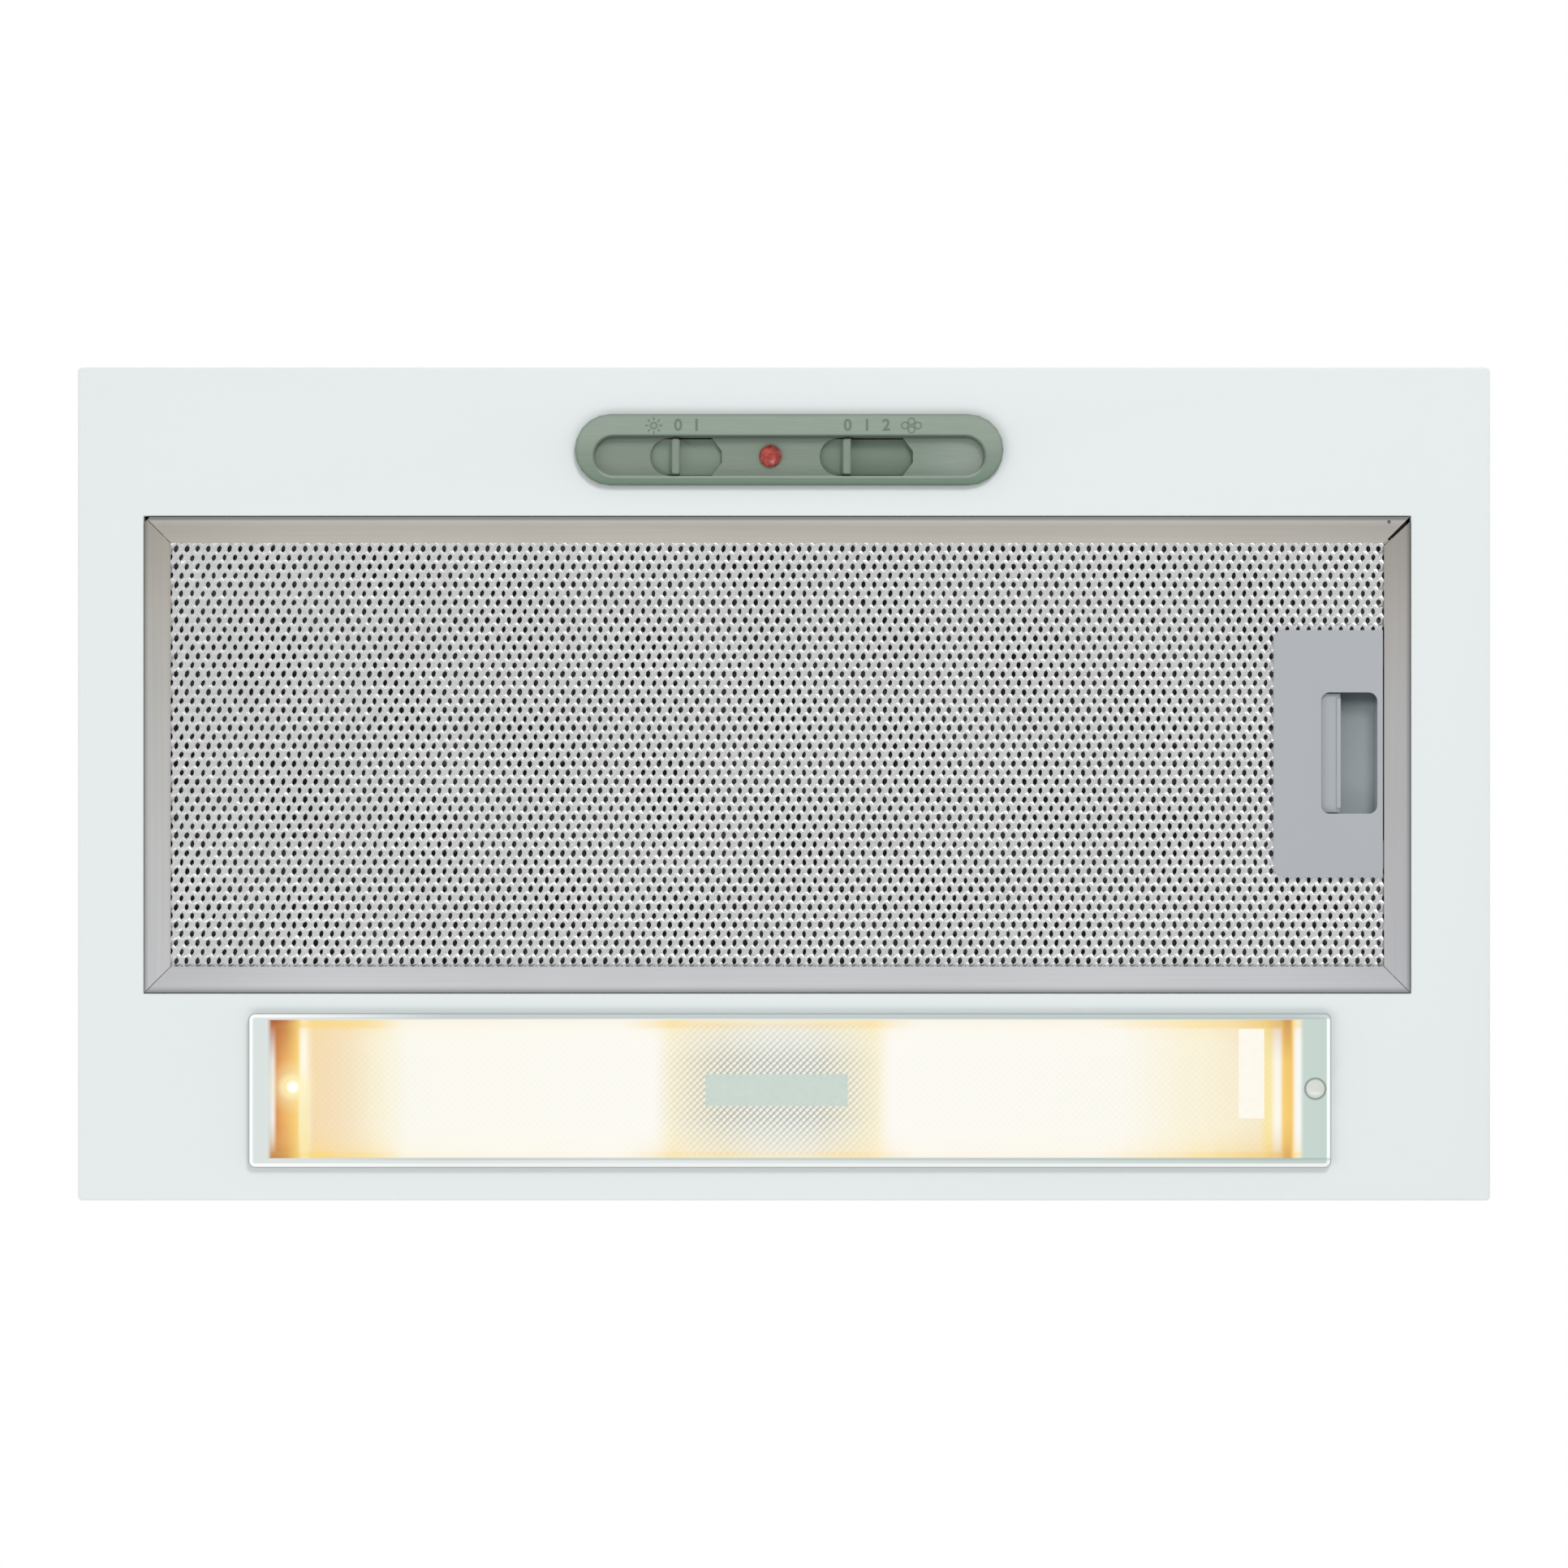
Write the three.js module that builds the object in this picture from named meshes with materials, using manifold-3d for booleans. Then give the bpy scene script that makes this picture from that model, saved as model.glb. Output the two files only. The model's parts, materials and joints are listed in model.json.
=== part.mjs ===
// Built-in canopy range hood, 500 x 295 mm face, for the underside of a wall cabinet.
// Millimetres. The origin is the centre of the cabinet's underside, which is the plane z = 0.
// +X is to the right, -Y is the room side, +Y is the wall side and +Z is up into the cabinet.

import * as THREE from 'three';
import { mergeVertices } from 'three/addons/utils/BufferGeometryUtils.js';
import Module from 'manifold-3d';

const wasm = await Module();
wasm.setup();

// ---------------------------------------------------------------- driving dimensions

const GAP = 0.3;                        // clearance between touching pieces

// face plate: a folded tray whose return lip bears on the cabinet
const PLATE_W = 500;
const PLATE_D = 295;
const PLATE_RIM = 12;
const PLATE_T = 1.0;
const RETURN_LIP = 8;
const FACE_Z = -PLATE_RIM;              // outer (lower) surface of the face
const FLOOR_Z = FACE_Z + PLATE_T;       // inner surface of the face

// grease filter cassette and the opening that it fills
const FILTER = { x0: -226.2, x1: 221.5, y0: -94.5, y1: 73.8 };
const FILTER_GAP = 0.3;
const FILTER_H = 9;
const FILTER_TOP = FACE_Z + FILTER_H;
const RAIL_W = 9.2;
const RAIL_T = 0.8;
const COLLAR_H = 7;                     // turned-up edge round the filter opening
const COLLAR_TOP = FACE_Z + COLLAR_H;

// release latch, let into the right end of the filter
const LATCH = { x0: 173.2, x1: 211.8, y0: -54.4, y1: 33.0 };
const PULL = { x0: 190.0, x1: 209.9, y0: -32.4, y1: 10.5 };
const LATCH_T = 1.6;
const LATCH_CORNER = 3.7;
const PULL_CORNER = 3;
const PULL_LIP_X = 197.1;               // edge of the slide that the finger pulls
const PULL_ROOF = -2.2;
const SLIDE_Y = -11;
const SLIDE_HALF = 9;
const TONGUE_Z = -0.7;
const TONGUE_TIP = 221.4;
const STRIKE_NOSE = 217.8;

// lamp cover, its opening and the lamp box behind it
const COVER = { x0: -189.2, x1: 193.3, y0: 80.9, y1: 135.6 };
const COVER_T = 2.2;
const COVER_TOP = FACE_Z - GAP;
const COVER_RIB = { x0: -170.5, x1: 175.4, y0: 85.2, y1: 129.7 };
const LAMP_HOLE = { x0: -180.0, x1: 182.6, y0: 83.4, y1: 132.2 };
const LAMP_Y = (LAMP_HOLE.y0 + LAMP_HOLE.y1) / 2;
const LAMP_Z = 14;
const LAMP_BOX_TOP = 37.4;
const SCREW_LEFT = { x: -173.8, y: 106.9, r: 3.0 };
const SCREW_RIGHT = { x: 187.6, y: 107.6, r: 3.3 };

// control panel
const BEZEL = { x: 1.85, y: -118.1, length: 151.4, width: 25.1 };
const TRACK = { x: 1.9, y: -115.8, length: 138.2, width: 14.2 };
const BEZEL_PROUD = 2.0;
const TRACK_FLOOR = -11.0;
const LIGHT_SLOT = { x0: -47.4, x1: -22.0 };
const FAN_SLOT = { x0: 12.6, x1: 45.6 };
const LIGHT_RIDGE_X = -38.3;
const FAN_RIDGE_X = 22.2;
const PILOT = { x: -4.8, y: -116.0, r: 4.0 };

// sheet steel housing
const HOUSE_HALF_X = 232;
const HOUSE_HALF_Y = 138;
const HOUSE_T = 0.8;
const HOUSE_FOOT = FLOOR_Z + GAP;
const HOUSE_TOP = 158;
const HOUSE_FLANGE = 7;
const SIDE_LIP = 6;                     // inward fold round the side panels
const HOUSE_OUTLINE = [                 // y, z, anticlockwise seen from +X
  [-HOUSE_HALF_Y, HOUSE_FOOT],
  [HOUSE_HALF_Y, HOUSE_FOOT],
  [HOUSE_HALF_Y, 50],
  [80, HOUSE_TOP],
  [-105, HOUSE_TOP],
  [-HOUSE_HALF_Y, 100],
];

// duct collar and its two damper flaps
const SPIGOT_R = 60;
const SPIGOT_T = 3;
const SPIGOT_TOP = 186;
const COLLAR_FLANGE = 70;
const COLLAR_FLANGE_T = 3;
const DAMPER_Z = 172;
const DAMPER_Y = 4.5;
const DAMPER_R = 55;
const DAMPER_T = 1.5;
const DAMPER_PIN_R = 1.2;
const COLLAR_SCREW = 62;

// double-inlet blower: the impeller's axis runs along X
const FAN_Y = -54.5;
const FAN_Z = 92;
const FAN_R = 55;
const FAN_INNER_R = 44;
const FAN_HALF = 48;
const FAN_BLADES = 24;
const DISC_X0 = 4;                      // the disc between the two halves of the wheel
const DISC_X1 = 6;
const SCROLL_HALF = 58;
const SCROLL_T = 2;
const SCROLL_R0 = 60;                   // spiral radius at the tongue
const SCROLL_R1 = 84;                   // spiral radius where the outlet starts
const TONGUE_ANGLE = 65;
const INLET_R = 48;
const OUTLET_Y = FAN_Y + SCROLL_R1;     // half depth of the outlet throat
const SCROLL_TOP = HOUSE_TOP - HOUSE_T - GAP;

// induction motor inside the left half of the impeller
const MOTOR_X0 = -40;
const MOTOR_X1 = -14;
const MOTOR_R = 35;
const ROTOR_R = 17.4;
const STATOR_BORE = 18.2;
const SHAFT_R = 3.95;
const SHAFT_BORE = 4.25;
const BEARING_R = 8.1;
const CAP_DEPTH = 11;
const BRACKET_ARMS = 3;

// mains side
const TERMINALS = { x0: -215, x1: -155, y0: -100, y1: -40, z0: 118 };
const GLAND = { x: -185, y: -70, bore: 4.2 };
const CAPACITOR = { x: -110, y: 20, r: 15, z0: 98, z1: 156.5 };

// ---------------------------------------------------------------- finishes

const WHITE_ENAMEL = { color: 0xe5ebeb, roughness: 0.45, metalness: 0.0 };
const GALVANISED = { color: 0xb4b8b9, roughness: 0.4, metalness: 0.9 };
const FILTER_ALUMINIUM = { color: 0xb6b5b0, roughness: 0.35, metalness: 0.9 };
const MESH_ALUMINIUM = { color: 0xafb0b0, roughness: 0.45, metalness: 0.85 };
const BRIGHT_STEEL = { color: 0xc4c6c7, roughness: 0.3, metalness: 0.95 };
const SPRING_STEEL = { color: 0x8f9396, roughness: 0.35, metalness: 0.9 };
const LATCH_GREY = { color: 0xb0b4b8, roughness: 0.5, metalness: 0.0 };
const SLIDE_GREY = { color: 0xa6abaf, roughness: 0.5, metalness: 0.0 };
const BEZEL_GREY = { color: 0x869888, roughness: 0.5, metalness: 0.0 };
const KNOB_GREY = { color: 0x828f83, roughness: 0.45, metalness: 0.0 };
const BLACK_PLASTIC = { color: 0x1c1d1f, roughness: 0.5, metalness: 0.0 };
const GREY_PLASTIC = { color: 0x55595c, roughness: 0.55, metalness: 0.0 };
const CLEAR_COVER = { color: 0xdce4e0, roughness: 0.15, metalness: 0.0 };
const RED_LENS = { color: 0xa25447, roughness: 0.15, metalness: 0.0 };
const LAMP_GLASS = { color: 0xfff3da, roughness: 0.2, metalness: 0.0 };
const REFLECTOR_WHITE = { color: 0xe9ebe6, roughness: 0.35, metalness: 0.2 };
const PORCELAIN = { color: 0xe8e4d8, roughness: 0.35, metalness: 0.0 };
const COPPER = { color: 0xa8632f, roughness: 0.4, metalness: 0.8 };
const LAMINATIONS = { color: 0x6f7274, roughness: 0.5, metalness: 0.8 };
const BRASS = { color: 0xb59a5a, roughness: 0.35, metalness: 0.9 };

// ---------------------------------------------------------------- geometry helpers

// A closed three.js geometry as a solid. Shared vertices are merged, flat slivers are
// dropped, and the faces are turned to point out.
function solid(geometry) {
  const loose = geometry.index ? geometry.toNonIndexed() : geometry;
  loose.deleteAttribute('normal');
  loose.deleteAttribute('uv');
  const merged = mergeVertices(loose, 1e-4);
  const points = merged.getAttribute('position').array;
  const corners = merged.index.array;
  const kept = [];
  let volume = 0;
  for (let i = 0; i < corners.length; i += 3) {
    const [a, b, c] = [corners[i], corners[i + 1], corners[i + 2]];
    if (a !== b && b !== c && c !== a) {
      kept.push([a, b, c]);
      const p = [a, b, c].map((n) => new THREE.Vector3().fromArray(points, 3 * n));
      volume += p[0].dot(p[1].cross(p[2]));
    }
  }
  const turned = volume < 0 ? kept.map(([a, b, c]) => [a, c, b]) : kept;
  return new wasm.Manifold(new wasm.Mesh({
    numProp: 3,
    vertProperties: new Float32Array(points),
    triVerts: new Uint32Array(turned.flat()),
  }));
}

function join(...solids) {
  return solids.reduce((a, b) => a.add(b));
}

function cut(body, ...tools) {
  return tools.reduce((a, b) => a.subtract(b), body);
}

function box(x0, x1, y0, y1, z0, z1) {
  const block = new THREE.BoxGeometry(x1 - x0, y1 - y0, z1 - z0);
  block.translate((x0 + x1) / 2, (y0 + y1) / 2, (z0 + z1) / 2);
  return solid(block);
}

function shapeOf(points) {
  return new THREE.Shape(points.map(([a, b]) => new THREE.Vector2(a, b)));
}

// An outline in (a, b) pushed along the axis that completes the right-handed frame.
function prism(shape, aAxis, bAxis, from, depth, curveSegments = 5) {
  const block = new THREE.ExtrudeGeometry(shape, { depth, bevelEnabled: false, curveSegments });
  const along = new THREE.Vector3().crossVectors(aAxis, bAxis);
  const frame = new THREE.Matrix4().makeBasis(aAxis, bAxis, along);
  block.applyMatrix4(frame);
  block.translate(from.x, from.y, from.z);
  return solid(block);
}

const X = new THREE.Vector3(1, 0, 0);
const Y = new THREE.Vector3(0, 1, 0);
const Z = new THREE.Vector3(0, 0, 1);

// outline in (y, z), pushed from x0 to x1
function prismX(shape, x0, x1) {
  return prism(shape, Y, Z, new THREE.Vector3(x0, 0, 0), x1 - x0);
}

// outline in (x, z), pushed between y0 and y1
function prismY(shape, y0, y1) {
  return prism(shape, X, Z, new THREE.Vector3(0, y1, 0), y1 - y0);
}

// outline in (x, y), pushed from z0 to z1
function prismZ(shape, z0, z1) {
  return prism(shape, X, Y, new THREE.Vector3(0, 0, z0), z1 - z0);
}

// a lathe profile of [radius, height] points, stood on the Z axis at x, y
function turnedZ(profile, x, y, sides = 32) {
  const points = profile.map(([r, h]) => new THREE.Vector2(r, h));
  const lathe = new THREE.LatheGeometry(points, sides);
  lathe.rotateX(Math.PI / 2);
  lathe.translate(x, y, 0);
  return solid(lathe);
}

// a lathe profile of [radius, distance] points, laid along the X axis at y, z
function turnedX(profile, y, z, sides = 32) {
  const points = profile.map(([r, h]) => new THREE.Vector2(r, h));
  const lathe = new THREE.LatheGeometry(points, sides);
  lathe.rotateZ(-Math.PI / 2);
  lathe.translate(0, y, z);
  return solid(lathe);
}

function rodZ(x, y, r, z0, z1, sides = 24) {
  return turnedZ([[0, z0], [r, z0], [r, z1], [0, z1]], x, y, sides);
}

function rodX(y, z, r, x0, x1, sides = 24) {
  return turnedX([[0, x0], [r, x0], [r, x1], [0, x1]], y, z, sides);
}

function ring(r0, r1, h0, h1) {
  return [[r0, h0], [r1, h0], [r1, h1], [r0, h1], [r0, h0]];
}

// a stadium: a long slot with half-round ends
function stadium(x, y, length, width) {
  const half = length / 2 - width / 2;
  const shape = new THREE.Shape();
  shape.absarc(x + half, y, width / 2, -Math.PI / 2, Math.PI / 2);
  shape.absarc(x - half, y, width / 2, Math.PI / 2, 1.5 * Math.PI);
  shape.closePath();
  return shape;
}

function roundedRect(rect, r) {
  const shape = new THREE.Shape();
  shape.absarc(rect.x1 - r, rect.y1 - r, r, 0, Math.PI / 2);
  shape.absarc(rect.x0 + r, rect.y1 - r, r, Math.PI / 2, Math.PI);
  shape.absarc(rect.x0 + r, rect.y0 + r, r, Math.PI, 1.5 * Math.PI);
  shape.absarc(rect.x1 - r, rect.y0 + r, r, 1.5 * Math.PI, 2 * Math.PI);
  shape.closePath();
  return shape;
}

function grown(rect, by) {
  return { x0: rect.x0 - by, x1: rect.x1 + by, y0: rect.y0 - by, y1: rect.y1 + by };
}

function slab(rect, z0, z1) {
  return box(rect.x0, rect.x1, rect.y0, rect.y1, z0, z1);
}

// a convex anticlockwise outline moved inwards
function inset(outline, by) {
  const count = outline.length;
  const lines = outline.map(([a, b], i) => {
    const [c, d] = outline[(i + 1) % count];
    const length = Math.hypot(c - a, d - b);
    const nx = -(d - b) / length;
    const ny = (c - a) / length;
    return { nx, ny, offset: nx * a + ny * b + by };
  });
  return lines.map((line, i) => {
    const last = lines[(i + count - 1) % count];
    const det = last.nx * line.ny - last.ny * line.nx;
    const a = (last.offset * line.ny - line.offset * last.ny) / det;
    const b = (last.nx * line.offset - line.nx * last.offset) / det;
    return [a, b];
  });
}

// the outline of a thin strip bent along a path of points
function bentStrip(path, thickness) {
  const half = thickness / 2;
  const side = (sign) => path.map(([a, b], i) => {
    const [pa, pb] = path[Math.max(i - 1, 0)];
    const [na, nb] = path[Math.min(i + 1, path.length - 1)];
    const into = new THREE.Vector2(a - pa, b - pb).normalize();
    const away = new THREE.Vector2(na - a, nb - b).normalize();
    const along = into.add(away).normalize();
    const before = new THREE.Vector2(a - pa, b - pb);
    const leg = before.length() > 0 ? before.normalize() : along;
    const stretch = half / Math.max(Math.abs(leg.dot(along)), 0.5);
    return [a - sign * along.y * stretch, b + sign * along.x * stretch];
  });
  return shapeOf([...side(1), ...side(-1).reverse()]);
}

function polar(radius, degrees) {
  const angle = THREE.MathUtils.degToRad(degrees);
  return [radius * Math.cos(angle), radius * Math.sin(angle)];
}

// ---------------------------------------------------------------- the assembly

const hood = new THREE.Group();

function place(name, body, finish) {
  const mesh = body.getMesh();
  const geometry = new THREE.BufferGeometry();
  geometry.setAttribute('position', new THREE.BufferAttribute(mesh.vertProperties, 3));
  geometry.setIndex(new THREE.BufferAttribute(mesh.triVerts, 1));
  geometry.computeVertexNormals();
  const piece = new THREE.Mesh(geometry, new THREE.MeshStandardMaterial(finish));
  piece.name = name;
  hood.add(piece);
}

// ---- face plate and housing

function facePlate() {
  const halfW = PLATE_W / 2;
  const halfD = PLATE_D / 2;
  const lip = RETURN_LIP;
  const block = box(-halfW, halfW, -halfD, halfD, FACE_Z, 0);
  const roomX = halfW - PLATE_T;
  const roomY = halfD - PLATE_T;
  const hollow = box(-roomX, roomX, -roomY, roomY, FLOOR_Z, -PLATE_T);
  const mouth = box(-halfW + lip, halfW - lip, -halfD + lip, halfD - lip, -2 * PLATE_T, PLATE_T);
  const tray = cut(block, hollow, mouth);
  const opening = grown(FILTER, FILTER_GAP);
  const collar = slab(grown(opening, PLATE_T), FLOOR_Z - PLATE_T / 2, COLLAR_TOP);
  return cut(
    join(tray, collar),
    slab(opening, FACE_Z - 1, 1),
    slab(LAMP_HOLE, FACE_Z - 1, 1),
    prismZ(stadium(TRACK.x, TRACK.y, TRACK.length + 4.2, TRACK.width + 4.2), FACE_Z - 1, 1),
    rodZ(SCREW_RIGHT.x, SCREW_RIGHT.y, 1.9, FACE_Z - 1, 1, 16),
  );
}

function housingWrap() {
  const halfX = HOUSE_HALF_X - HOUSE_T - GAP;
  const insideY = HOUSE_HALF_Y - HOUSE_T;
  const shell = cut(
    prismX(shapeOf(HOUSE_OUTLINE), -halfX, halfX),
    prismX(shapeOf(inset(HOUSE_OUTLINE, HOUSE_T)), -halfX - 1, halfX + 1),
    box(-halfX - 1, halfX + 1, -insideY, insideY, HOUSE_FOOT - 1, HOUSE_FOOT + 2),
  );
  const foot = (y0, y1) => box(-halfX, halfX, y0, y1, HOUSE_FOOT, HOUSE_FOOT + HOUSE_T);
  const front = foot(-HOUSE_HALF_Y - HOUSE_FLANGE, -HOUSE_HALF_Y + HOUSE_T / 2);
  const rear = foot(HOUSE_HALF_Y - HOUSE_T / 2, HOUSE_HALF_Y + HOUSE_FLANGE);
  const holes = [
    rodZ(0, 0, SPIGOT_R - 2, HOUSE_TOP - 5, HOUSE_TOP + 5, 36),
    rodZ(GLAND.x, GLAND.y, 8.3, HOUSE_TOP - 5, HOUSE_TOP + 5, 16),
    rodZ(CAPACITOR.x, CAPACITOR.y, 4.4, HOUSE_TOP - 5, HOUSE_TOP + 5, 12),
  ];
  for (const [sx, sy] of [[1, 1], [1, -1], [-1, 1], [-1, -1]]) {
    holes.push(rodZ(sx * COLLAR_SCREW, sy * COLLAR_SCREW, 1.9, HOUSE_TOP - 5, HOUSE_TOP + 5, 8));
  }
  return cut(join(shell, front, rear), ...holes);
}

// side is -1 for the left panel and 1 for the right one
function sidePanel(side) {
  const inner = HOUSE_HALF_X - HOUSE_T;
  const span = (a, b) => (side > 0 ? [a, b] : [-b, -a]);
  const panel = prismX(shapeOf(HOUSE_OUTLINE), ...span(inner, HOUSE_HALF_X));
  const lipOut = inset(HOUSE_OUTLINE, HOUSE_T + GAP);
  const lipIn = inset(HOUSE_OUTLINE, 2 * HOUSE_T + GAP);
  const open = box(...span(inner - 12, inner), -HOUSE_HALF_Y, HOUSE_HALF_Y, HOUSE_FOOT - 1, HOUSE_FOOT + 6);
  const lips = cut(
    prismX(shapeOf(lipOut), ...span(inner - SIDE_LIP, inner + 0.1)),
    prismX(shapeOf(lipIn), ...span(inner - SIDE_LIP - 1, inner)),
    open,
  );
  const halfY = HOUSE_HALF_Y - 1;
  const flange = span(inner, HOUSE_HALF_X + HOUSE_FLANGE);
  const foot = box(...flange, -halfY, halfY, HOUSE_FOOT, HOUSE_FOOT + HOUSE_T);
  return join(panel, lips, foot);
}

// a leaf that snaps out over the edge of the cabinet's base panel
function mountingClip(side) {
  const face = HOUSE_HALF_X + GAP + 0.3;
  const path = [[face, 62], [face, 42], [face + 8, 24], [face + 3, 14]];
  const turned = side > 0 ? path : path.map(([a, b]) => [-a, b]);
  return prismY(bentStrip(turned, 0.6), -12, 12);
}

// ---- duct collar and dampers

function outletCollar() {
  const base = HOUSE_TOP + GAP;
  const inner = SPIGOT_R - SPIGOT_T;
  const half = COLLAR_FLANGE;
  const flange = box(-half, half, -half, half, base, base + COLLAR_FLANGE_T);
  const bore = rodZ(0, 0, inner, base - 1, SPIGOT_TOP + 1, 36);
  const tube = rodZ(0, 0, SPIGOT_R, base + 1, SPIGOT_TOP, 36);
  const ledgeTop = DAMPER_Z - DAMPER_T / 2 - GAP;
  const ledge = turnedZ(ring(inner - 4, inner + 1, ledgeTop - 1.5, ledgeTop), 0, 0, 36);
  const notch = box(-inner - 1, inner + 1, -1.6, 1.6, DAMPER_Z - 6.4, SPIGOT_TOP);
  const tools = [notch, ...pinBores()];
  for (const [sx, sy] of [[1, 1], [1, -1], [-1, 1], [-1, -1]]) {
    tools.push(rodZ(sx * COLLAR_SCREW, sy * COLLAR_SCREW, 1.9, base - 1, base + 5, 8));
  }
  return cut(join(cut(join(flange, tube), bore), ledge), ...tools);
}

// round bores along both flap pins
function pinBores() {
  const reach = SPIGOT_R - SPIGOT_T;
  return [-DAMPER_Y, DAMPER_Y].map((y) => rodX(y, DAMPER_Z, DAMPER_PIN_R + GAP, -reach, reach, 8));
}

// the bar across the spigot that carries both flaps; it drops into two notches in the tube
function damperBar() {
  const inner = SPIGOT_R - SPIGOT_T;
  const parts = [box(-inner - 0.6, inner + 0.6, -1.2, 1.2, DAMPER_Z - 6, DAMPER_Z + 4)];
  for (const x of [-50, -2, 46]) {
    for (const y of [-DAMPER_Y, DAMPER_Y]) {
      parts.push(rodX(y, DAMPER_Z, 2.5, x, x + 4, 10));
      parts.push(box(x, x + 4, Math.min(y, 0), Math.max(y, 0), DAMPER_Z - 2, DAMPER_Z + 2));
    }
  }
  return cut(join(...parts), ...pinBores());
}

function damperFlap(side) {
  const chord = DAMPER_Y + 3;
  const start = Math.asin(chord / DAMPER_R);
  const arc = [];
  for (let i = 0; i <= 16; i += 1) {
    const angle = start + (Math.PI - 2 * start) * (i / 16);
    arc.push([DAMPER_R * Math.cos(angle), DAMPER_R * Math.sin(angle)]);
  }
  const z0 = DAMPER_Z - DAMPER_T / 2;
  const z1 = DAMPER_Z + DAMPER_T / 2;
  const parts = [prismZ(shapeOf(arc), z0, z1)];
  const bores = [];
  for (const x of [-44, 4]) {
    parts.push(rodX(DAMPER_Y, DAMPER_Z, 2.6, x, x + 40, 10));
    parts.push(box(x, x + 40, DAMPER_Y, chord + 1, z0, z1));
    bores.push(rodX(DAMPER_Y, DAMPER_Z, DAMPER_PIN_R + GAP, x - 1, x + 41, 8));
  }
  const flap = cut(join(...parts), ...bores);
  return side > 0 ? flap : flap.rotate([0, 0, 180]);
}

function damperPin(side) {
  return rodX(side * DAMPER_Y, DAMPER_Z, DAMPER_PIN_R, -56, 56, 8);
}

function collarScrew(x, y) {
  const seat = HOUSE_TOP + GAP + COLLAR_FLANGE_T + GAP;
  const head = [[3.6, seat], [3.6, seat + 1.2], [2, seat + 2.2], [0, seat + 2.2]];
  const profile = [[0, 150], [1.5, 152], [1.5, seat], ...head];
  return turnedZ(profile, x, y, 8);
}

// ---- blower

// the spiral runs from the tongue right round to the start of the outlet
function spiral(extra) {
  const points = [[FAN_Y, FAN_Z]];
  const sweep = 360 - TONGUE_ANGLE;
  for (let i = 0; i <= 28; i += 1) {
    const turn = i / 28;
    const radius = SCROLL_R0 + (SCROLL_R1 - SCROLL_R0) * turn + extra;
    const [y, z] = polar(radius, TONGUE_ANGLE + sweep * turn);
    points.push([FAN_Y + y, FAN_Z + z]);
  }
  return shapeOf(points);
}

function scrollHalf(side) {
  const span = (a, b) => (side > 0 ? [a, b] : [-b, -a]);
  const wall = OUTLET_Y + SCROLL_T;
  const split = GAP / 2;
  const outer = join(
    prismX(spiral(SCROLL_T), ...span(split, SCROLL_HALF)),
    box(...span(split, SCROLL_HALF), -wall, wall, FAN_Z, SCROLL_TOP),
    box(...span(split, SCROLL_HALF + 12), -42, 42, SCROLL_TOP - 2.2, SCROLL_TOP),
  );
  const inside = SCROLL_HALF - SCROLL_T;
  const inner = join(
    prismX(spiral(0), ...span(-1, inside)),
    rodX(FAN_Y, FAN_Z, SCROLL_R0 - 0.1, ...span(-1, inside), 32),
    box(...span(-1, inside), -OUTLET_Y, OUTLET_Y, FAN_Z, SCROLL_TOP + 3),
  );
  const inlet = rodX(FAN_Y, FAN_Z, INLET_R, ...span(inside - 1, SCROLL_HALF + 1), 32);
  const [m0, m1] = span(inside - 4, inside + 1);
  const mouth = turnedX(ring(INLET_R, INLET_R + 1.8, m0, m1), FAN_Y, FAN_Z, 32);
  return join(cut(outer, inner, inlet), mouth);
}

// the blades of one half of the wheel, with a hoop at the open end
function fanCage(x0, x1) {
  const parts = [];
  const outer = FAN_R - 0.4;
  for (let i = 0; i < FAN_BLADES; i += 1) {
    const start = (i * 360) / FAN_BLADES;
    const [y0, z0] = polar(FAN_INNER_R + 0.6, start);
    const [y1, z1] = polar(outer - 0.6, start + 8);
    const path = [[FAN_Y + y0, FAN_Z + z0], [FAN_Y + y1, FAN_Z + z1]];
    parts.push(prismX(bentStrip(path, 0.9), x0 + 0.5, x1 - 0.5));
  }
  const hoop = (a, b) => turnedX(ring(FAN_INNER_R, FAN_R, a, b), FAN_Y, FAN_Z, 32);
  return join(...parts, hoop(x0, x0 + 1.5), hoop(x1 - 1.5, x1));
}

// the left half of the wheel with its disc and hub
function impellerLeft() {
  const disc = turnedX(ring(SHAFT_BORE, FAN_R, DISC_X0, DISC_X1), FAN_Y, FAN_Z, 32);
  const hub = turnedX(ring(SHAFT_BORE, 9, 0, 14), FAN_Y, FAN_Z, 16);
  return join(fanCage(-FAN_HALF, DISC_X0 + 0.5), disc, hub);
}

// the right half, clipped to the disc
function impellerRight() {
  return fanCage(DISC_X1 + GAP, FAN_HALF);
}

function motorShaft() {
  return rodX(FAN_Y, FAN_Z, SHAFT_R, -58, 15, 16);
}

function motorRing(r0, r1, x0, x1, sides = 24) {
  return turnedX(ring(r0, r1, x0, x1), FAN_Y, FAN_Z, sides);
}

// end is -1 for the cap towards the left inlet and 1 for the one by the impeller's disc
function motorCap(end) {
  const start = end < 0 ? MOTOR_X0 - GAP : MOTOR_X1 + GAP;
  const at = (d) => start + end * d;
  const profile = [
    [MOTOR_R, at(0)], [MOTOR_R, at(CAP_DEPTH)], [BEARING_R + GAP, at(CAP_DEPTH)],
    [BEARING_R + GAP, at(CAP_DEPTH - 7)], [11.5, at(CAP_DEPTH - 7)], [11.5, at(CAP_DEPTH - 2)],
    [MOTOR_R - 2, at(CAP_DEPTH - 2)], [MOTOR_R - 2, at(0)], [MOTOR_R, at(0)],
  ];
  return turnedX(profile, FAN_Y, FAN_Z, 24);
}

function motorBearing(end) {
  const face = end < 0 ? MOTOR_X0 - GAP - CAP_DEPTH + 1 : MOTOR_X1 + GAP + CAP_DEPTH - 6;
  return motorRing(SHAFT_BORE, BEARING_R, face, face + 5, 16);
}

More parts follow.
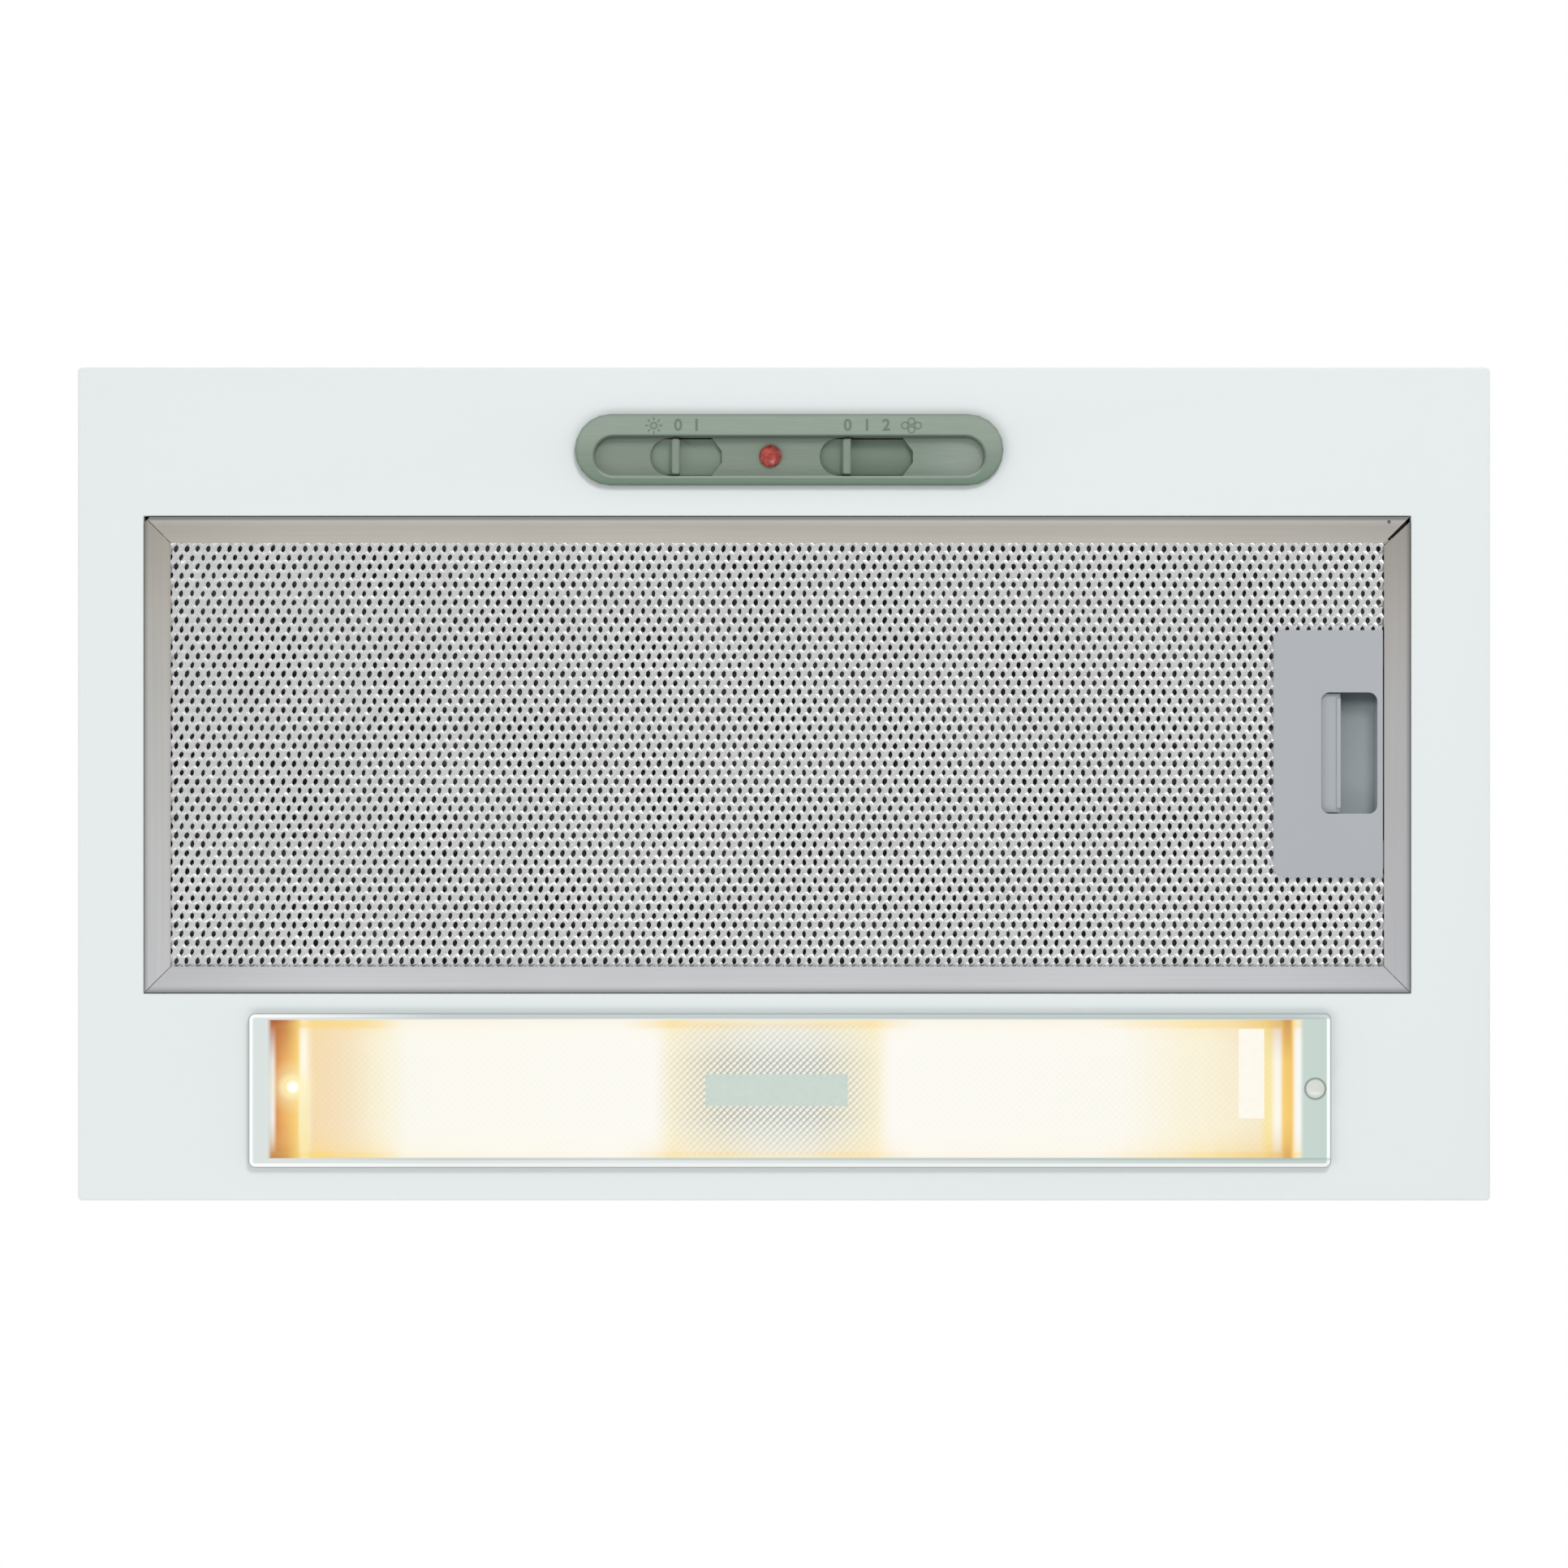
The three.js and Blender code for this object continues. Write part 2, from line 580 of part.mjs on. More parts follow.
function motorBracket() {
  const x0 = -SCROLL_HALF - GAP - 3;
  const x1 = -SCROLL_HALF - GAP;
  const parts = [motorRing(20, 30, x0, MOTOR_X0 - CAP_DEPTH - 2 * GAP)];
  for (let i = 0; i < BRACKET_ARMS; i += 1) {
    const arm = box(x0, x1, 26, 57, -6, 6).rotate([90 + (360 / BRACKET_ARMS) * i, 0, 0]);
    parts.push(arm.translate([0, FAN_Y, FAN_Z]));
  }
  return join(...parts);
}

// ---- control panel

// a slot with a round left end and a blunt point at the right
function slotHole(slot) {
  const half = TRACK.width / 2 - 0.4;
  const point = 3.5;
  const shape = new THREE.Shape();
  shape.absarc(slot.x0 + half, TRACK.y, half, Math.PI / 2, 1.5 * Math.PI);
  shape.lineTo(slot.x1 - point, TRACK.y - half);
  shape.lineTo(slot.x1, TRACK.y - 2);
  shape.lineTo(slot.x1, TRACK.y + 2);
  shape.lineTo(slot.x1 - point, TRACK.y + half);
  shape.closePath();
  return prismZ(shape, TRACK_FLOOR - 4, TRACK_FLOOR + 4);
}

function controlBezel() {
  const top = FACE_Z - GAP;
  const flange = prismZ(stadium(BEZEL.x, BEZEL.y, BEZEL.length, BEZEL.width), top - BEZEL_PROUD, top);
  const wellShape = stadium(TRACK.x, TRACK.y, TRACK.length + 3, TRACK.width + 3);
  const well = prismZ(wellShape, top - 1, TRACK_FLOOR + 1.5);
  const track = prismZ(stadium(TRACK.x, TRACK.y, TRACK.length, TRACK.width), top - 5, TRACK_FLOOR);
  const pilot = rodZ(PILOT.x, PILOT.y, PILOT.r - 0.6, TRACK_FLOOR - 1, TRACK_FLOOR + 4, 20);
  return cut(join(flange, well), track, slotHole(LIGHT_SLOT), slotHole(FAN_SLOT), pilot);
}

// A thin plate slides behind the track and covers the slot at every position. Its ridge
// stands out through the slot, its post reaches up into the switch, and the plate is
// thinner to the right of the ridge by the given step.
function slider(ridgeX, x0, x1, step, postX) {
  const z0 = TRACK_FLOOR + 1.5 + GAP;
  const y0 = TRACK.y - 6.4;
  const y1 = TRACK.y + 6.4;
  const plate = box(x0, ridgeX + 1.5, y0, y1, z0, z0 + 1.5);
  const tail = box(ridgeX, x1, y0, y1, z0 + step, z0 + 1.5);
  const ridge = box(ridgeX - 1.5, ridgeX + 1.5, y0, y1, TRACK_FLOOR - 2.4, z0 + 0.5);
  const post = box(postX, postX + 3, TRACK.y - 1.5, TRACK.y + 1.5, z0 + 1, -4);
  return join(plate, tail, ridge, post);
}

function slideSwitch(x0, x1, postX, travel) {
  const body = box(x0, x1, TRACK.y - 5, TRACK.y + 5, -6.9, 5);
  const slot = box(postX - 1, postX + 3 + travel + 1, TRACK.y - 2.5, TRACK.y + 2.5, -8, -3.2);
  return cut(body, slot);
}

function indicatorLens() {
  const seat = TRACK_FLOOR - GAP;
  const r = PILOT.r;
  const profile = [
    [0, seat - 2.4], [1.4, seat - 2.2], [3.0, seat - 1.3], [r, seat - 0.4], [r, seat],
    [r - 1, seat], [r - 1, TRACK_FLOOR + 2.6], [0, TRACK_FLOOR + 2.6],
  ];
  return turnedZ(profile, PILOT.x, PILOT.y, 12);
}

function switchBox() {
  const room = { x0: -76, x1: 80, y0: -132, y1: -100.5 };
  const foot = slab({ x0: -83, x1: 87, y0: -124, y1: -108 }, HOUSE_FOOT, HOUSE_FOOT + 0.8);
  const shell = slab(room, HOUSE_FOOT, 16);
  const hollow = slab(grown(room, -0.8), HOUSE_FOOT - 1, 15.2);
  const cableNotch = box(-70, -58, -102, -99, 4, 12);
  return cut(join(foot, shell), hollow, cableNotch);
}

// ---- lamps

function lampCover() {
  const plate = prismZ(roundedRect(COVER, 2.4), COVER_TOP - COVER_T, COVER_TOP);
  const rib = cut(
    slab(COVER_RIB, COVER_TOP - 0.5, COVER_TOP + 8),
    slab(grown(COVER_RIB, -2), COVER_TOP, COVER_TOP + 9),
  );
  const hole = (s) => rodZ(s.x, s.y, 2.1, COVER_TOP - 3, COVER_TOP + 1, 16);
  return cut(join(plate, rib), hole(SCREW_LEFT), hole(SCREW_RIGHT));
}

function coverScrew(screw) {
  const seat = COVER_TOP - COVER_T - GAP;
  const r = screw.r;
  const profile = [
    [0, seat - 1.5], [r * 0.55, seat - 1.3], [r * 0.9, seat - 0.7], [r, seat],
    [1.5, seat], [1.5, -4.5], [0, -3],
  ];
  return turnedZ(profile, screw.x, screw.y, 12);
}

// a hipped trough: two crossing wedges, wide below and narrow above
function trough(extra, top) {
  const half = (LAMP_HOLE.y1 - LAMP_HOLE.y0) / 2 + 0.5 + extra;
  const x0 = LAMP_HOLE.x0 - 0.5 - extra;
  const x1 = LAMP_HOLE.x1 + 0.5 + extra;
  const z0 = HOUSE_FOOT - (extra > 0 ? 0 : 1);
  const roof = half - 7.3;
  const cross = [[LAMP_Y - half, z0], [LAMP_Y + half, z0], [LAMP_Y + roof, top], [LAMP_Y - roof, top]];
  const length = [[x0, z0], [x1, z0], [x1 - 7.3, top], [x0 + 7.3, top]];
  const across = prismX(shapeOf(cross), x0 - 5, x1 + 5);
  return across.intersect(prismY(shapeOf(length), LAMP_Y - half - 5, LAMP_Y + half + 5));
}

function lampReflector() {
  const sheet = 0.7;
  const flange = slab(grown(LAMP_HOLE, 4.5), HOUSE_FOOT, HOUSE_FOOT + sheet);
  const shell = cut(join(flange, trough(sheet, LAMP_BOX_TOP + sheet)), trough(0, LAMP_BOX_TOP));
  const tab = box(LAMP_HOLE.x0 - 1, -171, LAMP_Y - 8, LAMP_Y + 8, HOUSE_FOOT, HOUSE_FOOT + sheet);
  const hole = (s, r) => rodZ(s.x, s.y, r, HOUSE_FOOT - 1, HOUSE_FOOT + 2, 12);
  const leadHole = rodZ(0, LAMP_Y - 15, 2.5, 30, 45, 12);
  return cut(join(shell, tab), hole(SCREW_LEFT, 1.8), hole(SCREW_RIGHT, 2.4), leadHole);
}

function lampholderBracket() {
  const top = LAMP_BOX_TOP - GAP;
  const web = box(-1, 1, LAMP_Y - 11, LAMP_Y + 11, LAMP_Z - 12, top);
  const foot = box(-12, 12, LAMP_Y - 11, LAMP_Y + 11, top - 1.2, top);
  return cut(join(web, foot), rodZ(0, LAMP_Y + 6, 1.8, top - 2, top + 1, 12));
}

function lampholder(side) {
  const at = (d) => side * d;
  const profile = [
    [0, at(1.3)], [12, at(1.3)], [12, at(16)], [13.5, at(18)], [13.5, at(39)], [7.5, at(39)], [7.5, at(11)],
    [0, at(11)],
  ];
  return turnedX(profile, LAMP_Y, LAMP_Z, 16);
}

// a candle lamp with its screw cap in the holder
function bulb(side) {
  const profile = [[0, side * 12], [6.9, side * 13], [6.9, side * 39.6]];
  const steps = 10;
  for (let i = 0; i <= steps; i += 1) {
    const s = i / steps;
    const neck = 8 * (1 - s) * (1 - s);
    const belly = 17.5 * Math.sin(Math.PI * Math.min(1, 0.12 + 0.88 * s ** 0.85));
    profile.push([i === steps ? 0 : Math.min(17.5, Math.max(neck, belly, 1)), side * (40 + 95 * s)]);
  }
  return turnedX(profile, LAMP_Y, LAMP_Z, 16);
}

// ---- grease filter

// One rail of the cassette: a channel, open towards the middle, with mitred ends. The
// rail is drawn along X with its back at y = 0 and its mouth towards +Y.
function rail(length) {
  const channel = shapeOf([
    [0, FACE_Z], [RAIL_W, FACE_Z], [RAIL_W, FACE_Z + RAIL_T], [RAIL_T, FACE_Z + RAIL_T],
    [RAIL_T, FILTER_TOP - RAIL_T], [RAIL_W, FILTER_TOP - RAIL_T], [RAIL_W, FILTER_TOP], [0, FILTER_TOP],
  ]);
  const bar = new THREE.ExtrudeGeometry(channel, { depth: length, bevelEnabled: false });
  bar.applyMatrix4(new THREE.Matrix4().makeBasis(Y, Z, X));
  const points = bar.getAttribute('position');
  for (let i = 0; i < points.count; i += 1) {
    const mitre = points.getY(i) + 0.15;
    const along = points.getX(i);
    points.setX(i, along < length / 2 ? along + mitre : along - mitre);
  }
  return solid(bar);
}

// The cassette frame is one strip folded round three corners; its ends meet at the
// front right corner. Two lugs at the left end hook over the opening's turned-up edge.
function filterFrame() {
  const { x0, x1, y0, y1 } = FILTER;
  const wide = x1 - x0;
  const deep = y1 - y0;
  const parts = [
    rail(wide).translate([x0, y0, 0]),
    rail(wide).rotate([0, 0, 180]).translate([x1, y1, 0]),
    rail(deep).rotate([0, 0, -90]).translate([x0, y1, 0]),
    rail(deep).rotate([0, 0, 90]).translate([x1, y0, 0]),
  ];
  const corners = [[x0, y0], [x0, y1], [x1, y1]];
  for (const [x, y] of corners) {
    const ax = x === x0 ? [x, x + 4] : [x - 4, x];
    const ay = y === y0 ? [y, y + 4] : [y - 4, y];
    const tx = x === x0 ? [x + RAIL_T, x + 5] : [x - 5, x - RAIL_T];
    const ty = y === y0 ? [y + RAIL_T, y + 5] : [y - 5, y - RAIL_T];
    parts.push(cut(box(...ax, ...ay, FACE_Z + 1, FILTER_TOP - 1), box(...tx, ...ty, FACE_Z, FILTER_TOP)));
  }
  for (const y of [-70, 29]) {
    parts.push(box(x0 - 4.2, x0 + 2, y, y + 20, COLLAR_TOP + GAP, COLLAR_TOP + GAP + 1.4));
  }
  return join(...parts);
}

function filterLayer(z0, z1) {
  const sheet = slab(grown(FILTER, -2.5), z0, z1);
  const latchRoom = box(LATCH.x0 - GAP, FILTER.x1, LATCH.y0 - GAP, LATCH.y1 + GAP, FACE_Z, FILTER_TOP);
  return cut(sheet, latchRoom);
}

function latchPlate() {
  const back = FACE_Z + LATCH_T;
  const face = prismZ(roundedRect(LATCH, LATCH_CORNER), FACE_Z, back);
  const railSide = box(LATCH.x1 - LATCH_CORNER, LATCH.x1, LATCH.y0, LATCH.y1, FACE_Z, back);
  const wall = 1.2;
  const shell = box(184, PULL.x1 + wall, PULL.y0 - wall, PULL.y1 + wall, back - 0.5, PULL_ROOF + wall);
  const room = box(183, PULL.x1, PULL.y0, PULL.y1, back, PULL_ROOF);
  const mouth = prismZ(roundedRect(PULL, PULL_CORNER), FACE_Z - 1, back + 1);
  const springStop = box(LATCH.x0 + 0.5, LATCH.x0 + 2, SLIDE_Y - 13, SLIDE_Y + 13, back - 0.5, -2);
  const lug = (y) => box(LATCH.x1 - 1, LATCH.x1 + 6, y, y + 10, back - 0.3, back + 1);
  const stem = (y) => box(LATCH.x1 - 3, LATCH.x1 - 0.2, y, y + 10, back - 0.5, back + 1);
  const ends = [-51, 20].flatMap((y) => [lug(y), stem(y)]);
  return cut(join(face, railSide, shell, springStop, ...ends), room, mouth);
}

// A C-shaped slide wraps round the left end of the finger pull: the finger draws the fin
// to the left, and the tongue above the pull draws back from the strike.
function latchSlider() {
  const low = FACE_Z + LATCH_T + GAP;
  const y0 = SLIDE_Y - SLIDE_HALF;
  const y1 = SLIDE_Y + SLIDE_HALF;
  const tread = box(182, PULL_LIP_X, PULL.y0 + GAP, PULL.y1 - GAP, low, low + 1.5);
  const fin = box(PULL_LIP_X - 1.5, PULL_LIP_X, PULL.y0 + GAP, PULL.y1 - GAP, low, PULL_ROOF - GAP);
  const nib = box(PULL_LIP_X - 1.5, PULL_LIP_X, PULL.y0 + 2, PULL.y1 - 2, low - 1, low + 1);
  const web = box(182, 183.6, y0, y1, low, TONGUE_Z + 1.5);
  const tongue = box(182, TONGUE_TIP, y0, y1, TONGUE_Z, TONGUE_Z + 1.5);
  return join(tread, fin, nib, web, tongue);
}

// a bowed leaf between the stop on the latch plate and the slide
function latchSpring() {
  const rest = LATCH.x0 + 2 + GAP + 0.3;
  const rise = 182 - GAP - 0.3 - rest;
  const path = [];
  for (let i = 0; i <= 12; i += 1) {
    const s = i / 12;
    path.push([rest + rise * Math.sin(Math.PI * s) ** 0.8, SLIDE_Y - 12 + 24 * s]);
  }
  return prismZ(bentStrip(path, 0.5), -8, -3.5);
}

// a spring leaf on the hood that the latch tongue rests on
function latchStrike() {
  const leg = FILTER.x1 + FILTER_GAP + PLATE_T + GAP + 0.3;
  const path = [[leg, FLOOR_Z + 0.6], [leg, -1.9], [STRIKE_NOSE + 1.5, -1.9], [STRIKE_NOSE, -1.4]];
  return prismY(bentStrip(path, 0.6), SLIDE_Y - SLIDE_HALF - 2, SLIDE_Y + SLIDE_HALF + 2);
}

// ---- mains side

function terminalBox() {
  const top = HOUSE_TOP - HOUSE_T - GAP;
  const shell = slab(TERMINALS, TERMINALS.z0, top);
  const room = slab(grown(TERMINALS, -2), TERMINALS.z0 - 1, top - 2);
  const entry = rodZ(GLAND.x, GLAND.y, 8.3, top - 5, top + 1, 20);
  const motorLead = box(TERMINALS.x1 - 3, TERMINALS.x1 + 1, -76, -64, 124, 132);
  return cut(shell, room, entry, motorLead);
}

function terminalLid() {
  const z1 = TERMINALS.z0 - GAP;
  const lid = slab(TERMINALS, z1 - 2, z1);
  const screwHole = rodZ((TERMINALS.x0 + TERMINALS.x1) / 2, TERMINALS.y0 + 6, 1.8, z1 - 3, z1 + 1, 12);
  return cut(lid, screwHole);
}

function cableGland() {
  const seat = HOUSE_TOP + GAP;
  const bore = GLAND.bore;
  const profile = [
    [bore, 147], [7.9, 147], [7.9, seat], [11.5, seat], [11.5, seat + 5], [10.2, seat + 6],
    [10.2, seat + 12], [7.5, seat + 15], [bore, seat + 15], [bore, 147],
  ];
  return turnedZ(profile, GLAND.x, GLAND.y, 16);
}

function glandNut() {
  const z1 = HOUSE_TOP - HOUSE_T - GAP - 2 - GAP;
  return turnedZ(ring(8.4, 12, z1 - 4, z1), GLAND.x, GLAND.y, 16);
}

function capacitor() {
  const { x, y, r, z0, z1 } = CAPACITOR;
  const profile = [
    [0, z0], [r - 1, z0], [r, z0 + 1], [r, z1 - 0.6], [r - 0.6, z1], [3.9, z1], [3.9, z1 + 9], [0, z1 + 9],
  ];
  return turnedZ(profile, x, y, 16);
}

function capacitorNut() {
  const seat = HOUSE_TOP + GAP;
  const hexagon = rodZ(CAPACITOR.x, CAPACITOR.y, 7.5, seat, seat + 5, 6);
  return cut(hexagon, rodZ(CAPACITOR.x, CAPACITOR.y, 4.3, seat - 1, seat + 6, 12));
}

// ---------------------------------------------------------------- everything in its place

place('face_plate', facePlate(), WHITE_ENAMEL);
place('housing_wrap', housingWrap(), GALVANISED);
place('side_panel_left', sidePanel(-1), GALVANISED);
place('side_panel_right', sidePanel(1), GALVANISED);
place('mounting_clip_left', mountingClip(-1), SPRING_STEEL);
place('mounting_clip_right', mountingClip(1), SPRING_STEEL);

place('outlet_collar', outletCollar(), BLACK_PLASTIC);
place('damper_bar', damperBar(), BLACK_PLASTIC);
place('damper_flap_front', damperFlap(-1), GREY_PLASTIC);
place('damper_flap_rear', damperFlap(1), GREY_PLASTIC);
place('damper_pin_front', damperPin(-1), BRIGHT_STEEL);
place('damper_pin_rear', damperPin(1), BRIGHT_STEEL);
for (const [i, [sx, sy]] of [[1, 1], [1, -1], [-1, 1], [-1, -1]].entries()) {
  place(`collar_screw_${i + 1}`, collarScrew(sx * COLLAR_SCREW, sy * COLLAR_SCREW), BRIGHT_STEEL);
}

place('scroll_half_left', scrollHalf(-1), BLACK_PLASTIC);
place('scroll_half_right', scrollHalf(1), BLACK_PLASTIC);
place('impeller_left', impellerLeft(), GREY_PLASTIC);
place('impeller_right', impellerRight(), GREY_PLASTIC);
place('motor_shaft', motorShaft(), BRIGHT_STEEL);
place('motor_rotor', motorRing(SHAFT_BORE, ROTOR_R, MOTOR_X0, MOTOR_X1), LAMINATIONS);
place('motor_stator', motorRing(STATOR_BORE, MOTOR_R, MOTOR_X0, MOTOR_X1), LAMINATIONS);
place('motor_coil_left', motorRing(20, 31, MOTOR_X0 - GAP - 7, MOTOR_X0 - GAP), COPPER);
place('motor_coil_right', motorRing(20, 31, MOTOR_X1 + GAP, MOTOR_X1 + GAP + 7), COPPER);
place('motor_cap_left', motorCap(-1), BRIGHT_STEEL);
place('motor_cap_right', motorCap(1), BRIGHT_STEEL);
place('motor_bearing_left', motorBearing(-1), BRASS);
place('motor_bearing_right', motorBearing(1), BRASS);
place('motor_bracket', motorBracket(), GALVANISED);

place('control_bezel', controlBezel(), BEZEL_GREY);
place('light_slider', slider(LIGHT_RIDGE_X, -62, -20, 0, -45), KNOB_GREY);
place('fan_slider', slider(FAN_RIDGE_X, -1.4, 47, 0.7, 14), KNOB_GREY);
place('light_switch', slideSwitch(-56, -22, -45, 7), BLACK_PLASTIC);
place('fan_switch', slideSwitch(6, 46, 14, 14), BLACK_PLASTIC);
place('indicator_lens', indicatorLens(), RED_LENS);
place('switch_box', switchBox(), GALVANISED);

place('lamp_cover', lampCover(), CLEAR_COVER);
place('cover_screw_left', coverScrew(SCREW_LEFT), BRIGHT_STEEL);
place('cover_screw_right', coverScrew(SCREW_RIGHT), BRIGHT_STEEL);
place('lamp_reflector', lampReflector(), REFLECTOR_WHITE);
place('lampholder_bracket', lampholderBracket(), GALVANISED);
place('lampholder_left', lampholder(-1), PORCELAIN);
place('lampholder_right', lampholder(1), PORCELAIN);
place('bulb_left', bulb(-1), LAMP_GLASS);
place('bulb_right', bulb(1), LAMP_GLASS);

place('filter_frame', filterFrame(), FILTER_ALUMINIUM);
place('filter_mesh_outer', filterLayer(-10.9, -10.1), MESH_ALUMINIUM);
place('filter_mesh_core', filterLayer(-9.8, -5.2), MESH_ALUMINIUM);
place('filter_mesh_inner', filterLayer(-4.9, -4.1), MESH_ALUMINIUM);
place('latch_plate', latchPlate(), LATCH_GREY);
place('latch_slider', latchSlider(), SLIDE_GREY);
place('latch_spring', latchSpring(), SPRING_STEEL);
place('latch_strike', latchStrike(), SPRING_STEEL);

place('terminal_box', terminalBox(), BLACK_PLASTIC);
place('terminal_box_lid', terminalLid(), BLACK_PLASTIC);
place('cable_gland', cableGland(), BLACK_PLASTIC);
place('cable_gland_nut', glandNut(), BLACK_PLASTIC);
place('capacitor', capacitor(), PORCELAIN);
place('capacitor_nut', capacitorNut(), BRIGHT_STEEL);

export default hood;
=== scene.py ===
import json
import math
import bmesh
import bpy
from mathutils import Matrix, Vector, noise


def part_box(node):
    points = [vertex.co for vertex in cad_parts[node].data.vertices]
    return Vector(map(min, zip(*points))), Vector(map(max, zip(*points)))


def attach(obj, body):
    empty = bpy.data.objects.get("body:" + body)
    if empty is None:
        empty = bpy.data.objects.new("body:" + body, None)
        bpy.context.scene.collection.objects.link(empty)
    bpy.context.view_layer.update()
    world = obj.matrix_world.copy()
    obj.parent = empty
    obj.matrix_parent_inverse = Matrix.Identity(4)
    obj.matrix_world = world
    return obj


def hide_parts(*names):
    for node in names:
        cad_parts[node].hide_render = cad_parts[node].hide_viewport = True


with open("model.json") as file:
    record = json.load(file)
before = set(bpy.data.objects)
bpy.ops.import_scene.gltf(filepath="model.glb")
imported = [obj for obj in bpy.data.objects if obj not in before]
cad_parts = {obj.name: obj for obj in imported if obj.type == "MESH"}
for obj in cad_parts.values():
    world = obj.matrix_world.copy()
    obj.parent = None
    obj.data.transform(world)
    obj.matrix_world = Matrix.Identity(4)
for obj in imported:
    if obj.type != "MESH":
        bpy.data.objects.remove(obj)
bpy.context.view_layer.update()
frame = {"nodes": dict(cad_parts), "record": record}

MM = 0.001
LARGE_FLAT = 2e-4                       # square metres; a face above this size is a flat one
scene = bpy.context.scene
NODES = frame["nodes"]
BODY = {n: b for b, held in frame["record"]["behaviour"]["bodies"].items() for n in held}


# ------------------------------------------------------------------ making pieces

def put(name, body, material, bm, replaces=(), smooth=35):
    """Turns a bmesh, in metres in the row's frame, into a finished piece on a body."""
    mesh = bpy.data.meshes.new(name)
    bm.to_mesh(mesh)
    bm.free()
    for one in material if isinstance(material, list) else [material]:
        mesh.materials.append(one)
    if smooth:
        small = [face.area < LARGE_FLAT for face in mesh.polygons]
        mesh.polygons.foreach_set("use_smooth", small)
        mesh.set_sharp_from_angle(angle=math.radians(smooth))
    piece = bpy.data.objects.new(name, mesh)
    scene.collection.objects.link(piece)
    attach(piece, body)
    if replaces:
        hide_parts(*replaces)
    return piece


def sharp_edges(bm, degrees=30):
    limit = math.radians(degrees)
    return [e for e in bm.edges if len(e.link_faces) == 2 and e.calc_face_angle(0) > limit]


def rounded(bm, edges, width, segments=2):
    """Rounds these edges by width, in millimetres."""
    if edges:
        bmesh.ops.bevel(bm, geom=edges, offset=width * MM, offset_type="OFFSET", affect="EDGES",
                        segments=segments, profile=0.5, material=-1, clamp_overlap=True)


def merged_copy(node):
    bm = bmesh.new()
    bm.from_mesh(NODES[node].data)
    bmesh.ops.remove_doubles(bm, verts=bm.verts, dist=1e-6)
    bmesh.ops.dissolve_limit(bm, angle_limit=math.radians(0.5), verts=bm.verts, edges=bm.edges)
    return bm


def softened(node, width, material, segments=2, smooth=35):
    """A copy of a CAD node with its sharp edges rounded, which stands for the node."""
    bm = merged_copy(node)
    rounded(bm, sharp_edges(bm), width, segments)
    return put(node + "_finished", BODY[node], material, bm, (node,), smooth)


def rotate(bm, verts, angle, axis):
    bmesh.ops.rotate(bm, verts=verts, cent=(0, 0, 0), matrix=Matrix.Rotation(angle, 3, axis))


def shift(bm, verts, x, y, z):
    """Moves these vertices by millimetres."""
    bmesh.ops.translate(bm, verts=verts, vec=Vector((x, y, z)) * MM)


def whole(bm):
    return bm.verts[:] + bm.edges[:] + bm.faces[:]


def verts_in(geometry):
    return [part for part in geometry if isinstance(part, bmesh.types.BMVert)]


def trimmed(bm, *planes):
    """Cuts off what lies beyond each plane, given as (a point in metres, the way out)."""
    for point, away in planes:
        bmesh.ops.bisect_plane(bm, geom=whole(bm), dist=1e-7, plane_co=point, plane_no=away,
                               clear_outer=True)


def four_sides(x0, x1, y0, y1):
    """The upright planes round a rectangle, for trimmed."""
    return (((x0, 0, 0), (-1, 0, 0)), ((x1, 0, 0), (1, 0, 0)),
            ((0, y0, 0), (0, -1, 0)), ((0, y1, 0), (0, 1, 0)))


def closed(bm):
    """Fills every hole that a cut has left."""
    bmesh.ops.holes_fill(bm, edges=[e for e in bm.edges if e.is_boundary], sides=0)


def middle_of(node):
    """The middle of a node's box, in millimetres."""
    lo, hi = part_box(node)
    return (lo + hi) / 2 / MM


def dome(bm, spot, towards, r, h, steps=14):
    """A low round head, such as a rivet's, on the surface at spot; millimetres."""
    made = bmesh.ops.create_uvsphere(bm, u_segments=steps, v_segments=8, radius=r * MM)["verts"]
    bmesh.ops.scale(bm, verts=made, vec=(1, 1, h / r))
    turn = Vector(towards).to_track_quat("Z", "Y").to_matrix()
    bmesh.ops.rotate(bm, verts=made, cent=(0, 0, 0), matrix=turn)
    shift(bm, made, *spot)


def slab(bm, x0, x1, y0, y1, z0, z1, width=0.0, segments=2):
    """A block between these limits, in millimetres, with its edges rounded."""
    made = bmesh.ops.create_cube(bm, size=1)["verts"]
    bmesh.ops.scale(bm, verts=made, vec=Vector((x1 - x0, y1 - y0, z1 - z0)) * MM)
    shift(bm, made, (x0 + x1) / 2, (y0 + y1) / 2, (z0 + z1) / 2)
    if width:
        rounded(bm, list({e for v in made for e in v.link_edges}), width, segments)


def turned(outline, x, y, z=0, steps=48, along_x=False):
    """Spins an outline of (radius, height) points, in millimetres, round an axis through this
    point that stands upright or lies along X."""
    bm = bmesh.new()
    chain = [bm.verts.new(Vector((r, 0, h)) * MM) for r, h in outline]
    sides = [bm.edges.new(pair) for pair in zip(chain, chain[1:])]
    if outline[0][0] > 0:
        sides.append(bm.edges.new((chain[-1], chain[0])))
    bmesh.ops.spin(bm, geom=chain + sides, cent=(0, 0, 0), axis=(0, 0, 1), dvec=(0, 0, 0),
                   angle=math.tau, steps=steps, use_merge=True, use_duplicate=False)
    bmesh.ops.remove_doubles(bm, verts=bm.verts, dist=1e-6)
    bmesh.ops.recalc_face_normals(bm, faces=bm.faces)
    if along_x:
        rotate(bm, bm.verts, math.pi / 2, "Y")
    shift(bm, bm.verts, x, y, z)
    return bm


def absorb(bm, other):
    """Adds another bmesh to this one."""
    holder = bpy.data.meshes.new("holder")
    other.to_mesh(holder)
    other.free()
    bm.from_mesh(holder)
    bpy.data.meshes.remove(holder)


# ------------------------------------------------------------------ materials

